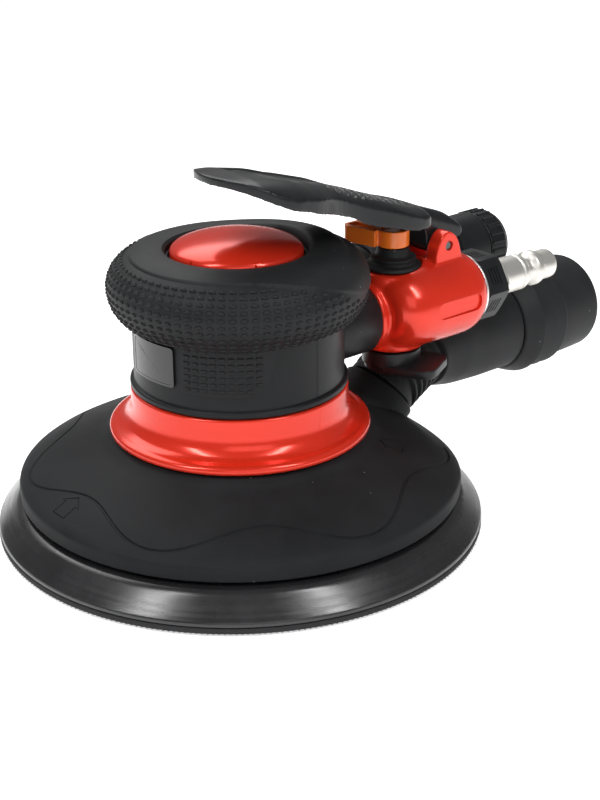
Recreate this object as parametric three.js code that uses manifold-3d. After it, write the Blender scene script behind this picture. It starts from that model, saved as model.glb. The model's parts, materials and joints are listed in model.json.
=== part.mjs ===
// Air-driven random orbital sander with a palm grip and a dust outlet, in millimetres, +Z up.
// The origin is on the motor axis at the underside of the pad. +X runs along the handle.
import * as THREE from 'three';
import { mergeVertices } from 'three/addons/utils/BufferGeometryUtils.js';
import Module from 'manifold-3d';

const wasm = await Module();
wasm.setup();

// ---- driving dimensions ----
const GAP = 0.3;                 // air between neighbouring pieces
const PAD_R = 75;                // 150 mm pad
const PAD_TOP_R = 67.5;
const HOOK_TOP = 2.2;
const FOAM_TOP = 10.2;
const PLATE_TOP = 12.5;
const ORBIT = 2.5;               // crank throw, half of a 5 mm orbit
const CRANK_AZ = 225;            // where the crank points at rest
const DUST_HOLES = 6;
const DUST_HOLE_R = 5;
const DUST_CIRCLE_R = 40;
const SKIRT_R = 68;
const RING_R = 33;               // clamping ring, upper cylinder
const FLARE_R = 39.8;            // clamping ring, lower flare
const RING_LOW = 29.7;
const RING_TOP = 44.1;
const CASE_R = 31.8;             // motor housing
const CASE_IN_R = 28.3;
const CASE_TOP = 83.5;
const LIP_LOW = 44.45;
const LIP_TOP = 46.4;
const LINER_R = CASE_IN_R - GAP;
const BORE_R = 20.5;             // eccentric cylinder bore
const BORE_SHIFT = 1.9;
const ROTOR_R = 18.3;
const ROTOR_LOW = 46.6;
const ROTOR_TOP = 69.4;
const VANES = 5;
const SHAFT_R = 6;
const VALVE_X = 54;              // throttle valve axis
const VALVE_Y = -10;
const NECK_Y = -8;               // passage from the housing to the valve
const NECK_Z = 56.5;
const INLET_Y = -15;             // compressed-air line, parallel to X
const INLET_Z = 58.8;
const BOSS_R = 10.5;
const BOSS_LOW = 45.2;
const BOSS_TOP = 70.3;
const VALVE_BORE_R = 6.5;
const STEM_R = 1.9;
const INLET_END = 80;            // outer end of the valve body
const PIVOT_X = 68.3;            // throttle lever pin
const PIVOT_Z = 76.7;
const PIN_R = 1.5;
const EAR_OUT = 10.4;            // half distance over the two ears
const EAR_IN = 5.4;
const LOCK_LOW = 77.6;
const LOCK_TOP = 82.9;
const REG_TOP = 44.5;
const REG_LOW = 40.5;
const REG_AZ = -63;              // the regulator's finger plate points this way
const EXH_Y = 14;                // exhaust line, parallel to X
const EXH_Z = 60.2;
const MUFFLER_R = 11.4;
const MUFFLER_END = 113.1;
const DUST_Y = 10;                 // dust outlet, parallel to X
const DUST_Z = 30.2;
const TUBE_R = 16.2;
const CUFF_START = 122.7;
const CUFF_END = 161.5;
const BIG = 30;                  // facets round a large part
const MID = 18;
const SMALL = 12;

const rad = THREE.MathUtils.degToRad;
const group = new THREE.Group();

// ---- materials ----
const look = (color, roughness, metalness = 0) =>
  new THREE.MeshStandardMaterial({ color, roughness, metalness });
const blackRubber = look(0x1a1b1c, 0.85);
const blackPlastic = look(0x1c1d1f, 0.5);
const padBlack = look(0x101112, 0.35);
const redEnamel = look(0xd4230f, 0.22);
const orangePlastic = look(0xf0661a, 0.35);
const steel = look(0xb9bbbd, 0.3, 1);
const darkSteel = look(0x5d6165, 0.4, 1);
const aluminium = look(0xc4c6c8, 0.4, 1);
const phenolic = look(0x4a2f1c, 0.6);
const felt = look(0x8c8a84, 0.95);

// ---- geometry helpers ----
// Join shared corners, drop collapsed facets and turn the surface outward.
function weld(geometry) {
  const bare = new THREE.BufferGeometry();
  bare.setAttribute('position', geometry.getAttribute('position'));
  if (geometry.index) bare.setIndex(geometry.index);
  const merged = mergeVertices(bare, 1e-4);
  const p = merged.getAttribute('position');
  const id = merged.index.array;
  const kept = [];
  let volume = 0;
  const [a, b, c] = [new THREE.Vector3(), new THREE.Vector3(), new THREE.Vector3()];
  for (let i = 0; i < id.length; i += 3) {
    const [u, v, w] = [id[i], id[i + 1], id[i + 2]];
    if (u === v || v === w || w === u) continue;
    kept.push(u, v, w);
    a.fromBufferAttribute(p, u);
    b.fromBufferAttribute(p, v);
    c.fromBufferAttribute(p, w);
    volume += a.dot(b.cross(c)) / 6;
  }
  merged.setIndex(volume < 0 ? kept.reverse() : kept);
  return merged;
}

function toSolid(geometry) {
  const g = weld(geometry);
  const mesh = new wasm.Mesh({
    numProp: 3,
    vertProperties: new Float32Array(g.getAttribute('position').array),
    triVerts: new Uint32Array(g.index.array),
  });
  return new wasm.Manifold(mesh);
}

function toGeometry(solid) {
  const mesh = solid.getMesh();
  const g = new THREE.BufferGeometry();
  g.setAttribute('position', new THREE.BufferAttribute(new Float32Array(mesh.vertProperties), 3));
  g.setIndex(Array.from(mesh.triVerts));
  return g;
}

function put(name, shape, material, parent = group) {
  const geometry = shape.isBufferGeometry ? weld(shape) : toGeometry(shape);
  const mesh = new THREE.Mesh(geometry, material);
  mesh.name = name;
  parent.add(mesh);
  return mesh;
}

// A closed profile of [radius, height] pairs turned about Z.
function turned(profile, facets = MID) {
  const points = profile.map(([r, z]) => new THREE.Vector2(r, z));
  const first = points[0];
  const last = points[points.length - 1];
  if (first.x > 0 || last.x > 0) points.push(first.clone());
  return new THREE.LatheGeometry(points, facets).rotateX(Math.PI / 2);
}

const rod = (r, low, high, facets = SMALL) => turned([[0, low], [r, low], [r, high], [0, high]], facets);
const ring = (inner, outer, low, high, facets = MID) =>
  turned([[inner, low], [outer, low], [outer, high], [inner, high]], facets);

// Turned about the line y, z parallel to X; heights become X positions.
const alongX = (geometry, y, z) => geometry.rotateY(Math.PI / 2).translate(0, y, z);
const alongY = (geometry) => geometry.rotateX(-Math.PI / 2);

function block(x0, x1, y0, y1, z0, z1) {
  const g = new THREE.BoxGeometry(x1 - x0, y1 - y0, z1 - z0);
  return g.translate((x0 + x1) / 2, (y0 + y1) / 2, (z0 + z1) / 2);
}

function outline(points) {
  const shape = new THREE.Shape();
  points.forEach(([x, y], i) => (i ? shape.lineTo(x, y) : shape.moveTo(x, y)));
  shape.closePath();
  return shape;
}

// A plan outline (x, y) raised from one height to another.
function raised(shape, low, high, curveSegments = 10) {
  const g = new THREE.ExtrudeGeometry(shape, { depth: high - low, bevelEnabled: false, curveSegments });
  return g.translate(0, 0, low);
}

// A side outline (x, z) given a width about y, in a number of slices.
function sideways(shape, y, halfWidth, steps = 1) {
  const g = new THREE.ExtrudeGeometry(shape, {
    depth: 2 * halfWidth, bevelEnabled: false, steps, curveSegments: 10,
  });
  return g.rotateX(Math.PI / 2).translate(0, y + halfWidth, 0);
}

const merge = (...parts) => parts.map(toSolid).reduce((sum, s) => sum.add(s));
const cut = (solid, ...tools) => tools.reduce((rest, t) => rest.subtract(toSolid(t)), solid);

// Bend a turned piece, made straight along Z from 0 to its length, along a curve.
function bend(geometry, curve, length) {
  const p = geometry.getAttribute('position');
  const side = new THREE.Vector3(0, 1, 0);
  const v = new THREE.Vector3();
  for (let i = 0; i < p.count; i++) {
    v.fromBufferAttribute(p, i);
    const t = THREE.MathUtils.clamp(v.z / length, 0, 1);
    const centre = curve.getPointAt(t);
    const ahead = curve.getTangentAt(t);
    const across = new THREE.Vector3().crossVectors(side, ahead).normalize();
    const along = new THREE.Vector3().crossVectors(ahead, across).normalize();
    centre.addScaledVector(across, v.x).addScaledVector(along, v.y);
    p.setXYZ(i, centre.x, centre.y, centre.z);
  }
  return geometry;
}

function helix(radius, wire, low, high, turns) {
  class Coil extends THREE.Curve {
    getPoint(t, target = new THREE.Vector3()) {
      const angle = 2 * Math.PI * turns * t;
      return target.set(radius * Math.cos(angle), radius * Math.sin(angle), low + (high - low) * t);
    }
  }
  const section = new THREE.Shape().absarc(0, 0, wire, 0, 2 * Math.PI);
  return new THREE.ExtrudeGeometry(section, {
    steps: 9 * turns, extrudePath: new Coil(), curveSegments: 2,
  });
}

const atPad = (geometry) =>
  geometry.translate(ORBIT * Math.cos(rad(CRANK_AZ)), ORBIT * Math.sin(rad(CRANK_AZ)), 0);
const atValve = (geometry) => geometry.translate(VALVE_X, VALVE_Y, 0);

function dustHoles(low, high) {
  const holes = [];
  for (let i = 0; i < DUST_HOLES; i++) {
    const angle = (2 * Math.PI * i) / DUST_HOLES;
    const hole = rod(DUST_HOLE_R, low, high);
    holes.push(atPad(hole.translate(DUST_CIRCLE_R * Math.cos(angle), DUST_CIRCLE_R * Math.sin(angle), 0)));
  }
  return holes;
}

// ---- pad ----
function padHookFace() {
  const face = toSolid(atPad(rod(PAD_R, 0, HOOK_TOP, BIG)));
  return cut(face, ...dustHoles(-1, HOOK_TOP + 1));
}

function padFoam() {
  const low = HOOK_TOP + GAP;
  const body = atPad(turned([[0, low], [PAD_R - 0.6, low], [PAD_R - 0.6, low + 1.2],
    [PAD_TOP_R + 0.8, FOAM_TOP - 0.8], [PAD_TOP_R - 0.6, FOAM_TOP], [0, FOAM_TOP]], BIG));
  return cut(toSolid(body), ...dustHoles(0, FOAM_TOP + 1));
}

function padPlate() {
  const low = FOAM_TOP + GAP;
  const body = atPad(turned([[0, low], [60, low], [60, low + 1.2], [22, PLATE_TOP], [0, PLATE_TOP]], BIG));
  return cut(toSolid(body), ...dustHoles(FOAM_TOP - 1, PLATE_TOP + 1), atPad(rod(4.2, FOAM_TOP, 14)));
}

function spindle() {
  const low = FOAM_TOP + GAP + 0.2;
  return atPad(turned([[0, low], [3.9, low], [3.9, PLATE_TOP + GAP], [8, PLATE_TOP + GAP], [8, 14.6],
    [6, 15], [4.9, 15.2], [4.9, 23], [0, 23]], SMALL));
}

// ---- rotor, crank and motor ----
const slotAngle = (i) => (2 * Math.PI * i) / VANES + rad(18);

function rotor() {
  const body = turned([[0, 30.3], [SHAFT_R, 30.3], [SHAFT_R, ROTOR_LOW - 1], [8, ROTOR_LOW],
    [ROTOR_R, ROTOR_LOW], [ROTOR_R, ROTOR_TOP], [4, ROTOR_TOP], [4, 76.5], [0, 76.5]]);
  const slots = [];
  for (let i = 0; i < VANES; i++) {
    slots.push(block(7.2, ROTOR_R + 2, -1.3, 1.3, ROTOR_LOW - 2, ROTOR_TOP + 2).rotateZ(slotAngle(i)));
  }
  return cut(toSolid(body), ...slots);
}

const vane = (i) =>
  block(7.5, ROTOR_R - 0.2, -1, 1, ROTOR_LOW + 0.2, ROTOR_TOP - 0.2).rotateZ(slotAngle(i));

function balancer() {
  const hub = rod(12, 24, 35.6, MID);
  const pocket = atPad(rod(13, 15.5, 25, MID));
  const weightShape = new THREE.Shape();
  weightShape.absarc(0, 0, 25.5, rad(CRANK_AZ + 105), rad(CRANK_AZ + 255));
  const weight = raised(weightShape, 17.5, 26);
  const body = merge(hub, pocket, weight);
  return cut(body, rod(SHAFT_R + GAP, 30, 37), atPad(rod(10.4, 14, 24.2, MID)));
}

function cylinderLiner() {
  const [low, high] = [ROTOR_LOW - 0.2, ROTOR_TOP + 0.2];
  const bore = rod(BORE_R, low - 1, high + 1, BIG).translate(0, BORE_SHIFT, 0);
  return cut(toSolid(rod(LINER_R, low, high, BIG)), bore);
}

const lowerEndPlate = () => turned([[12.4, 41.4], [LINER_R, 41.4], [LINER_R, ROTOR_LOW - 0.5],
  [8.5, ROTOR_LOW - 0.5], [8.5, 45.4], [12.4, 45.4]]);
const upperEndPlate = () => turned([[5, ROTOR_TOP + 0.5], [LINER_R, ROTOR_TOP + 0.5], [LINER_R, 75.4],
  [9.4, 75.4], [9.4, 71.2], [5, 71.2]]);
const retainerRing = () => ring(24.5, LINER_R, 38.8, 41.1);

// ---- housing, grip and cap ----
function motorHousing() {
  const shell = turned([[CASE_IN_R, 36.2], [31, 36.2], [31, LIP_LOW], [RING_R, LIP_LOW], [RING_R, LIP_TOP],
    [CASE_R, LIP_TOP], [CASE_R, 66], [31.2, 66.6], [31.2, CASE_TOP],
    [0, CASE_TOP], [0, 77.5], [CASE_IN_R, 77.5]], BIG);
  const inletNeck = alongX(rod(11.5, 20, 41.5, MID), NECK_Y, NECK_Z);
  const exhaustNeck = alongX(rod(10, 20, 61.9, MID), EXH_Y, EXH_Z);
  const web = block(20, 38, VALVE_Y + 4, EXH_Y - 3, 52, 63.5);
  const cavity = rod(CASE_IN_R, 30, 77.5, BIG);
  const inletPort = alongX(rod(5, 20, 45), NECK_Y, NECK_Z);
  const exhaustPort = alongX(rod(7, 15, 65), EXH_Y, EXH_Z);
  const capSeat = rod(20.4, 81.6, CASE_TOP + 1, BIG);
  const outside = cut(merge(inletNeck, exhaustNeck, web), cavity);
  return cut(toSolid(shell).add(outside), inletPort, exhaustPort, capSeat);
}

// The grip is a turned mushroom that swells a little where the handle leaves it.
function rubberGrip() {
  const geometry = turned([[32.1, 65], [33.4, 65], [35.2, 66.4], [37.6, 69.6], [38.7, 73.4], [38.8, 76],
    [37.8, 79.4], [35.6, 82.2], [32.4, 84.3], [28.6, 85.6], [24.4, 86], [21.8, 85.8], [21.1, 85],
    [21.1, CASE_TOP + GAP], [31.5, CASE_TOP + GAP], [31.5, 67], [32.1, 66.4]], BIG);
  const p = geometry.getAttribute('position');
  for (let i = 0; i < p.count; i++) {
    const [x, y, z] = [p.getX(i), p.getY(i), p.getZ(i)];
    const r = Math.hypot(x, y);
    const facing = Math.max(0, Math.cos(1.4 * Math.atan2(y, x))) ** 2;
    const near = Math.abs(Math.atan2(y, x)) < rad(64) ? facing : 0;
    const lift = z > 84.2 && r > 21.5 && r < 36 ? 1.2 * near : 0;
    const swell = r > 34 ? 1 + (1.9 * near) / r : 1;
    p.setXYZ(i, x * swell, y * swell, z + lift);
  }
  const inletNotch = alongX(rod(11.9, 20, 60, MID), NECK_Y, NECK_Z);
  const exhaustNotch = alongX(rod(10.4, 20, 60, MID), EXH_Y, EXH_Z);
  return cut(toSolid(geometry), inletNotch, exhaustNotch);
}

const topCap = () => turned([[0, 81.9], [19.8, 81.9], [19.8, 85.4], [18.9, 86.3], [15.5, 87.7], [9, 89.1],
  [0, 89.6]], BIG);

// A thin curved plate glued on the housing's side.
function namePlate() {
  const shell = toSolid(ring(CASE_R + 0.2, CASE_R + 0.9, 51.6, 64.4, 96));
  const wedge = new THREE.Shape();
  wedge.moveTo(0, 0);
  wedge.lineTo(-30, 9);
  wedge.absarc(0, 0, 60, rad(-197), rad(-163));
  return shell.intersect(toSolid(raised(wedge, 40, 70)));
}

const lockRing = () => turned([[31.3, RING_LOW + 1.6], [31.3, RING_TOP], [RING_R, RING_TOP], [RING_R, 37.6],
  [33.6, 35.6], [35.2, 33.8], [37.4, 32.5], [39.2, 31.8], [FLARE_R, 31], [FLARE_R, RING_LOW],
  [38.6, RING_LOW]], BIG);

// ---- skirt with its dust port ----
const PORT_TILT = 40;
const portStart = new THREE.Vector3(53.5, 0, 20.5);
const portAhead = new THREE.Vector3(Math.cos(rad(PORT_TILT)), 0, Math.sin(rad(PORT_TILT)));
const atPort = (geometry) => geometry.rotateY(rad(90 - PORT_TILT)).translate(...portStart.toArray());
const PORT_END = 6.5;

function shroud() {
  const under = [[0, 0], [66.4, 0], [66.4, 11], [66.2, 14.2], [58, 18.1], [46, 22.8], [40, 25.2], [34, 26.3],
    [0, 26.8]];
  const wall = turned([[29, 26.6], [29, 35.6], [30.9, 35.6], [30.9, 30.9], [38.4, 29.2], [40.6, 28.2],
    [42.6, 27], [50, 24.3], [60, 20.4], [66, 17.2], [67.6, 15.9], [SKIRT_R, 15], [SKIRT_R, 11.4], [66.5, 11.4],
    [66.2, 14.2], [58, 18.1], [46, 22.8], [40, 25.2], [34, 26.3]], BIG);
  const p = wall.getAttribute('position');
  for (let i = 0; i < p.count; i++) {
    const [x, y] = [p.getX(i), p.getY(i)];
    const r = Math.hypot(x, y);
    const away = Math.min(1, Math.abs(Math.atan2(y, x) + rad(8)) / rad(44));
    const trim = 1 - (3.4 * Math.cos((away * Math.PI) / 2) ** 2 * THREE.MathUtils.smoothstep(r, 54, 66)) / r;
    p.setXY(i, x * trim, y * trim);
  }
  const skin = toSolid(wall);
  const spigot = cut(toSolid(atPort(rod(12.7, -8, PORT_END, MID))), turned(under, BIG), rod(41.5, 0, 60, BIG));
  return cut(skin.add(spigot), atPort(rod(9.6, -30, PORT_END + 1)));
}

// ---- dust line ----
function bellows() {
  const start = portStart.clone().addScaledVector(portAhead, PORT_END + GAP);
  const curve = new THREE.CubicBezierCurve3(start, start.clone().addScaledVector(portAhead, 3),
    new THREE.Vector3(72.6, 3.8, 29), new THREE.Vector3(79.6, 6, 30.4));
  const length = curve.getLength();
  const ridges = 6;
  const outer = [[11.9, 0], [11.9, 1.4]];
  const pitch = (length - 2.8) / ridges;
  for (let i = 0; i < ridges; i++) {
    const z = 1.4 + pitch * i;
    outer.push([10.6, z + 0.25 * pitch], [11.9, z + 0.75 * pitch]);
  }
  outer.push([11.4, length - 1], [11.4, length]);
  return bend(turned([...outer, [9.4, length], [9.4, 0.5 * length], [9.4, 0]], 18), curve, length);
}

function dustTube() {
  const curve = new THREE.CurvePath();
  const mouth = new THREE.Vector3(80.2, 6.2, 30.5);
  const straight = new THREE.Vector3(105, DUST_Y, DUST_Z);
  curve.add(new THREE.CubicBezierCurve3(mouth, new THREE.Vector3(86.6, 8.2, 31.6),
    new THREE.Vector3(95, DUST_Y, DUST_Z), straight));
  curve.add(new THREE.LineCurve3(straight, new THREE.Vector3(CUFF_START - GAP, DUST_Y, DUST_Z)));
  const length = curve.getLength();
  return bend(turned([[11.6, 0], [13.2, 0], [13.6, 3], [14.8, 9], [15.8, 14], [TUBE_R - 0.3, 20],
    [TUBE_R, 28], [TUBE_R, length], [13.4, length], [13.4, 28], [12.6, 14], [10.4, 5], [10, 0]], MID), curve, length);
}

function hoseCuff() {
  const x = CUFF_START;
  return alongX(turned([[13.4, x], [16.8, x], [19.5, x + 6.8], [19.5, x + 7.2], [18.4, x + 7.5], [19.3, x + 19.2],
    [18.2, x + 19.7], [17.2, CUFF_END - 1], [16.4, CUFF_END], [13.9, CUFF_END]], BIG), DUST_Y, DUST_Z);
}

// ---- throttle valve ----
function earOutline() {
  const shape = new THREE.Shape();
  shape.moveTo(62.5, 62);
  shape.lineTo(76, 62);
  shape.lineTo(PIVOT_X + 4.4, PIVOT_Z + 0.6);
  shape.absarc(PIVOT_X, PIVOT_Z, 4.5, rad(8), rad(165));
  return shape;
}

function valveBody() {
  const boss = atValve(turned([[0, BOSS_LOW], [BOSS_R, BOSS_LOW], [BOSS_R, BOSS_TOP - 0.8],
    [BOSS_R - 0.8, BOSS_TOP], [0, BOSS_TOP]], BIG));
  const barrel = alongX(turned([[0, 44.5], [8, 45], [11.4, 47.6], [12.9, 52], [13.4, 58], [13.7, 68], [13.7, 75],
    [13, 78], [11.8, INLET_END], [0, INLET_END]], MID), INLET_Y, INLET_Z);
  const flange = alongX(rod(11.2, 41.8, 50, MID), NECK_Y, NECK_Z);
  const earCentre = (EAR_OUT + EAR_IN) / 2;
  const earHalf = (EAR_OUT - EAR_IN) / 2;
  const ears = [-1, 1].map((s) => sideways(earOutline(), VALVE_Y + s * earCentre, earHalf));
  const body = merge(boss, barrel, flange, ...ears);
  return cut(body,
    atValve(rod(VALVE_BORE_R, BOSS_LOW - 1, 64, MID)),
    atValve(rod(STEM_R + GAP, 60, BOSS_TOP + 6)),
    atValve(rod(9.4, BOSS_TOP, BOSS_TOP + 16, MID)),
    atValve(rod(9.8, 30, BOSS_LOW, MID)),
    alongX(rod(5, 54, INLET_END), INLET_Y, INLET_Z),
    alongX(rod(8.6, 66, INLET_END + 2), INLET_Y, INLET_Z),
    alongX(rod(4.6, 40, 54), NECK_Y, NECK_Z),
    alongY(rod(PIN_R + 0.1, -40, 40)).translate(PIVOT_X, VALVE_Y, PIVOT_Z));
}

const rubberBoot = () => atValve(turned([[STEM_R + GAP, 70.7], [8.8, 70.7], [8.8, 71.9], [6.9, 72.5], [6.4, 73.4],
  [7.2, 74.1], [5.5, 74.9], [5, 77.3], [STEM_R + GAP, 77.3]], MID));
const valveStem = () => atValve(turned([[0, 59.8], [5.4, 59.8], [5.4, 61.8], [STEM_R, 61.8], [STEM_R, 80.2],
  [0, 80.2]]));
const valveSeal = () => atValve(ring(STEM_R + GAP, 4.6, 62.1, 63.7, SMALL));
const valveSpring = () => helix(4.6, 0.5, 51.4, 58.9, 4).translate(VALVE_X, VALVE_Y, 0);

// The lock's tab stands beside its hub, on the side of the housing.
function throttleLock() {
  const tab = outline([[47.6, -8.2], [49.4, -8.4], [51.4, -9.6], [56, -8], [54.5, 3.5], [52.6, 4.6], [46.6, 4.6],
    [45.4, 3]]);
  const hub = atValve(rod(5, LOCK_LOW, LOCK_TOP, MID));
  return cut(merge(hub, raised(tab, LOCK_LOW, LOCK_TOP)), atValve(rod(STEM_R + GAP, LOCK_LOW - 1, 80.5)));
}

function regulator() {
  const spool = atValve(turned([[0, REG_LOW - 1], [9.4, REG_LOW - 1], [9.4, REG_TOP], [6.1, REG_TOP],
    [6.1, 46.6], [4.9, 46.6], [4.9, 48.6], [6.1, 48.6], [6.1, 50.6], [0, 50.6]], MID));
  const plate = new THREE.Shape();
  plate.moveTo(0, -9.3);
  plate.lineTo(12, -9.3);
  plate.quadraticCurveTo(17, -9.3, 17, -4.3);
  plate.lineTo(17, 4.3);
  plate.quadraticCurveTo(17, 9.3, 12, 9.3);
  plate.lineTo(0, 9.3);
  plate.absarc(0, 0, 9.3, rad(90), rad(270));
  const finger = atValve(raised(plate, REG_LOW - 3, REG_LOW, 6).rotateZ(rad(REG_AZ)));
  return merge(spool, finger);
}

const regulatorSeal = () => atValve(ring(5.2, 6.2, 46.9, 48.3, SMALL));

// ---- air inlet ----
const inletWasher = () => alongX(ring(8.9, 11.4, INLET_END + GAP, INLET_END + 1.2, MID), INLET_Y, INLET_Z);

function inletBushing() {
  const hexR = 11.6;
  const x = INLET_END + 1.5;
  const hex = alongX(turned([[0, x], [hexR - 0.7, x], [hexR, x + 0.8], [hexR, x + 8.4], [hexR - 0.8, x + 9.3],
    [0, x + 9.3]], 6), INLET_Y, INLET_Z);
  const shank = alongX(rod(8.3, INLET_END - 12, x + 1), INLET_Y, INLET_Z);
  const bore = alongX(rod(6.9, x - 3, x + 10), INLET_Y, INLET_Z);
  return cut(merge(hex, shank), bore, alongX(rod(5.2, 60, x + 10), INLET_Y, INLET_Z));
}

function inletNipple() {
  const hexR = 7.7;
  const x = INLET_END + 11.1;
  const hex = alongX(turned([[0, x], [hexR, x], [hexR, x + 3.4], [hexR - 0.6, x + 4], [0, x + 4]], 6), INLET_Y, INLET_Z);
  const stem = alongX(turned([[0, x - 11], [6.5, x - 11], [6.5, x + 1], [6, x + 4], [6, x + 15.4], [4.4, x + 16.8],
    [4.4, x + 19.2], [5.9, x + 20.6], [5.9, x + 23.2], [5, x + 24.4], [5, x + 29.9], [4.5, x + 30.4],
    [0, x + 30.4]], MID), INLET_Y, INLET_Z);
  return cut(merge(hex, stem), alongX(rod(3.4, 60, x + 36), INLET_Y, INLET_Z));
}

const inletScreen = () => alongX(turned([[3.6, 70], [5, 70], [5, 79.4], [4.4, 79.4], [4.4, 70.9], [3.6, 70.9]], 20),
  INLET_Y, INLET_Z);

// ---- throttle lever ----
// Side outline of the lever at its edge; the paddle is crowned across its width.
function throttleLever() {
  const side = outline([[-18, 107.4], [-9.4, 106.9], [1.6, 104.9], [11.6, 103.5], [21, 100.9], [27.5, 98.2],
    [36.5, 95.2], [44.5, 92.2], [51.6, 89.8], [57, 88.3], [65.4, 84.9], [79.4, 79.9], [80.4, 78.2], [79.6, 76.4],
    [73, 75], [PIVOT_X, PIVOT_Z - 4.2], [64.4, 74.6], [63.8, 80], [61.5, 84.6], [57, 85.2], [46, 86.4], [38, 88.7],
    [30.5, 91.4], [25, 94.2], [13, 98.2], [2.4, 101], [-5, 102.9], [-18, 105.1]]);
  const step = THREE.MathUtils.smoothstep;
  const slab = sideways(side, VALVE_Y, 18.6, 10);
  const p = slab.getAttribute('position');
  for (let i = 0; i < p.count; i++) {
    const [x, z] = [p.getX(i), p.getZ(i)];
    const half = 18.6 - 6.2 * step(x, 2, 25) + 3.6 * step(x, 29, 46) - 11.4 * step(x, 55, 61);
    const across = Math.min(1, Math.abs(p.getY(i) - VALVE_Y) / half);
    const onTop = x < 57.5 || z > 87.1 - 0.375 * (x - 57) ? 1 : 0;
    const rise = 3 + 1.7 * (1 - step(x, 0, 12));
    p.setZ(i, z + rise * onTop * (1 - step(x, 72, 84)) * (1 - across ** 4));
  }
  const plan = new THREE.Shape();
  plan.moveTo(0.6, -18.6);
  plan.bezierCurveTo(13, -18.6, 17, -12.6, 27, -12.4);
  plan.bezierCurveTo(35, -12.4, 39, -16, 48.5, -16);
  plan.bezierCurveTo(56, -16, 59.4, -12.5, 59.4, -7);
  plan.lineTo(59.4, -4.6);
  plan.lineTo(82, -4.6);
  plan.lineTo(82, 4.6);
  plan.lineTo(59.4, 4.6);
  plan.lineTo(59.4, 7);
  plan.bezierCurveTo(59.4, 12.5, 56, 16, 48.5, 16);
  plan.bezierCurveTo(39, 16, 35, 12.4, 27, 12.4);
  plan.bezierCurveTo(17, 12.6, 13, 18.6, 0.6, 18.6);
  plan.absarc(0.6, 0, 18.6, rad(90), rad(270));
  const body = toSolid(slab).intersect(toSolid(raised(plan, 60, 130, 8).translate(0, VALVE_Y, 0)));
  const nose = atValve(rod(2.5, LOCK_TOP + 0.4, 90.5));
  const pinHole = alongY(rod(PIN_R + 0.1, -40, 40)).translate(PIVOT_X, VALVE_Y, PIVOT_Z);
  return cut(body.add(toSolid(nose)), pinHole);
}

const leverPin = () => alongY(rod(PIN_R, -9.8, 9.8)).translate(PIVOT_X, VALVE_Y, PIVOT_Z);

// ---- exhaust ----
const mufflerBody = () => alongX(turned([[7.6, 62.3], [10.6, 62.3], [MUFFLER_R, 65], [MUFFLER_R, MUFFLER_END],
  [9.4, MUFFLER_END], [9.4, 65], [7.6, 65]]), EXH_Y, EXH_Z);
const mufflerElement = () => alongX(ring(6, 9, 66, MUFFLER_END - 1), EXH_Y, EXH_Z);

function mufflerCap() {
  const ribs = 14;
  const shape = new THREE.Shape();
  for (let i = 0; i < ribs * 2; i++) {
    const angle = (Math.PI * i) / ribs;
    const r = i % 2 ? MUFFLER_R + 0.7 : MUFFLER_R + 0.1;
    const [x, y] = [r * Math.cos(angle), r * Math.sin(angle)];
    if (i) shape.lineTo(x, y);
    else shape.moveTo(x, y);
  }
  const x = MUFFLER_END + GAP;
  const rim = alongX(raised(shape, x, x + 7.4), EXH_Y, EXH_Z);
  const nose = alongX(turned([[0, x + 6.4], [MUFFLER_R - 0.2, x + 6.4], [MUFFLER_R - 0.2, x + 7.4], [10.2, x + 9.7],
    [0, x + 9.7]]), EXH_Y, EXH_Z);
  const hollow = alongX(rod(8.8, x - 1, x + 7.6), EXH_Y, EXH_Z);
  const holes = [0, 1, 2, 3, 4].map((i) => {
    const angle = (2 * Math.PI * i) / 5;
    return alongX(rod(1.6, 120, 130, 6), EXH_Y + 5.4 * Math.cos(angle), EXH_Z + 5.4 * Math.sin(angle));
  });
  return cut(merge(rim, nose), hollow, ...holes);
}

// ---- assembly ----
put('pad_hook_face', padHookFace(), padBlack);
put('pad_foam', padFoam(), padBlack);
put('pad_plate', padPlate(), blackPlastic);
put('spindle', spindle(), steel);
put('spindle_bearing', atPad(ring(5.2, 10.1, 15.8, 23.9)), steel);
put('balancer', balancer(), darkSteel);
put('rotor', rotor(), steel);
for (let i = 0; i < VANES; i++) put(`vane_${i + 1}`, vane(i), phenolic);
put('cylinder_liner', cylinderLiner(), darkSteel);
put('lower_end_plate', lowerEndPlate(), darkSteel);
put('upper_end_plate', upperEndPlate(), darkSteel);
put('lower_bearing', ring(SHAFT_R + 0.2, 12.1, 41.6, 45.1), steel);
put('upper_bearing', ring(4.2, 9.1, 71.5, 75.3), steel);
put('retainer_ring', retainerRing(), darkSteel);
put('motor_housing', motorHousing(), blackPlastic);
put('rubber_grip', rubberGrip(), blackRubber);
put('top_cap', topCap(), redEnamel);
put('name_plate', namePlate(), padBlack);
put('lock_ring', lockRing(), redEnamel);
put('shroud', shroud(), blackRubber);
put('bellows', bellows(), blackRubber);
put('dust_tube', dustTube(), blackRubber);
put('hose_cuff', hoseCuff(), blackRubber);
put('valve_body', valveBody(), redEnamel);
put('rubber_boot', rubberBoot(), blackRubber);
put('valve_stem', valveStem(), steel);
put('valve_seal', valveSeal(), blackRubber);
put('valve_spring', valveSpring(), steel);
put('throttle_lock', throttleLock(), orangePlastic);
put('regulator', regulator(), blackPlastic);
put('regulator_seal', regulatorSeal(), blackRubber);
put('inlet_washer', inletWasher(), aluminium);
put('inlet_bushing', inletBushing(), blackPlastic);
put('inlet_screen', inletScreen(), steel);
put('inlet_nipple', inletNipple(), steel);
put('throttle_lever', throttleLever(), blackPlastic);
put('lever_pin', leverPin(), darkSteel);
put('muffler_body', mufflerBody(), blackPlastic);
put('muffler_element', mufflerElement(), felt);
put('muffler_cap', mufflerCap(), blackPlastic);

export default group;
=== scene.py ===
"""Air-driven random orbital sander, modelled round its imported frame."""

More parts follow.
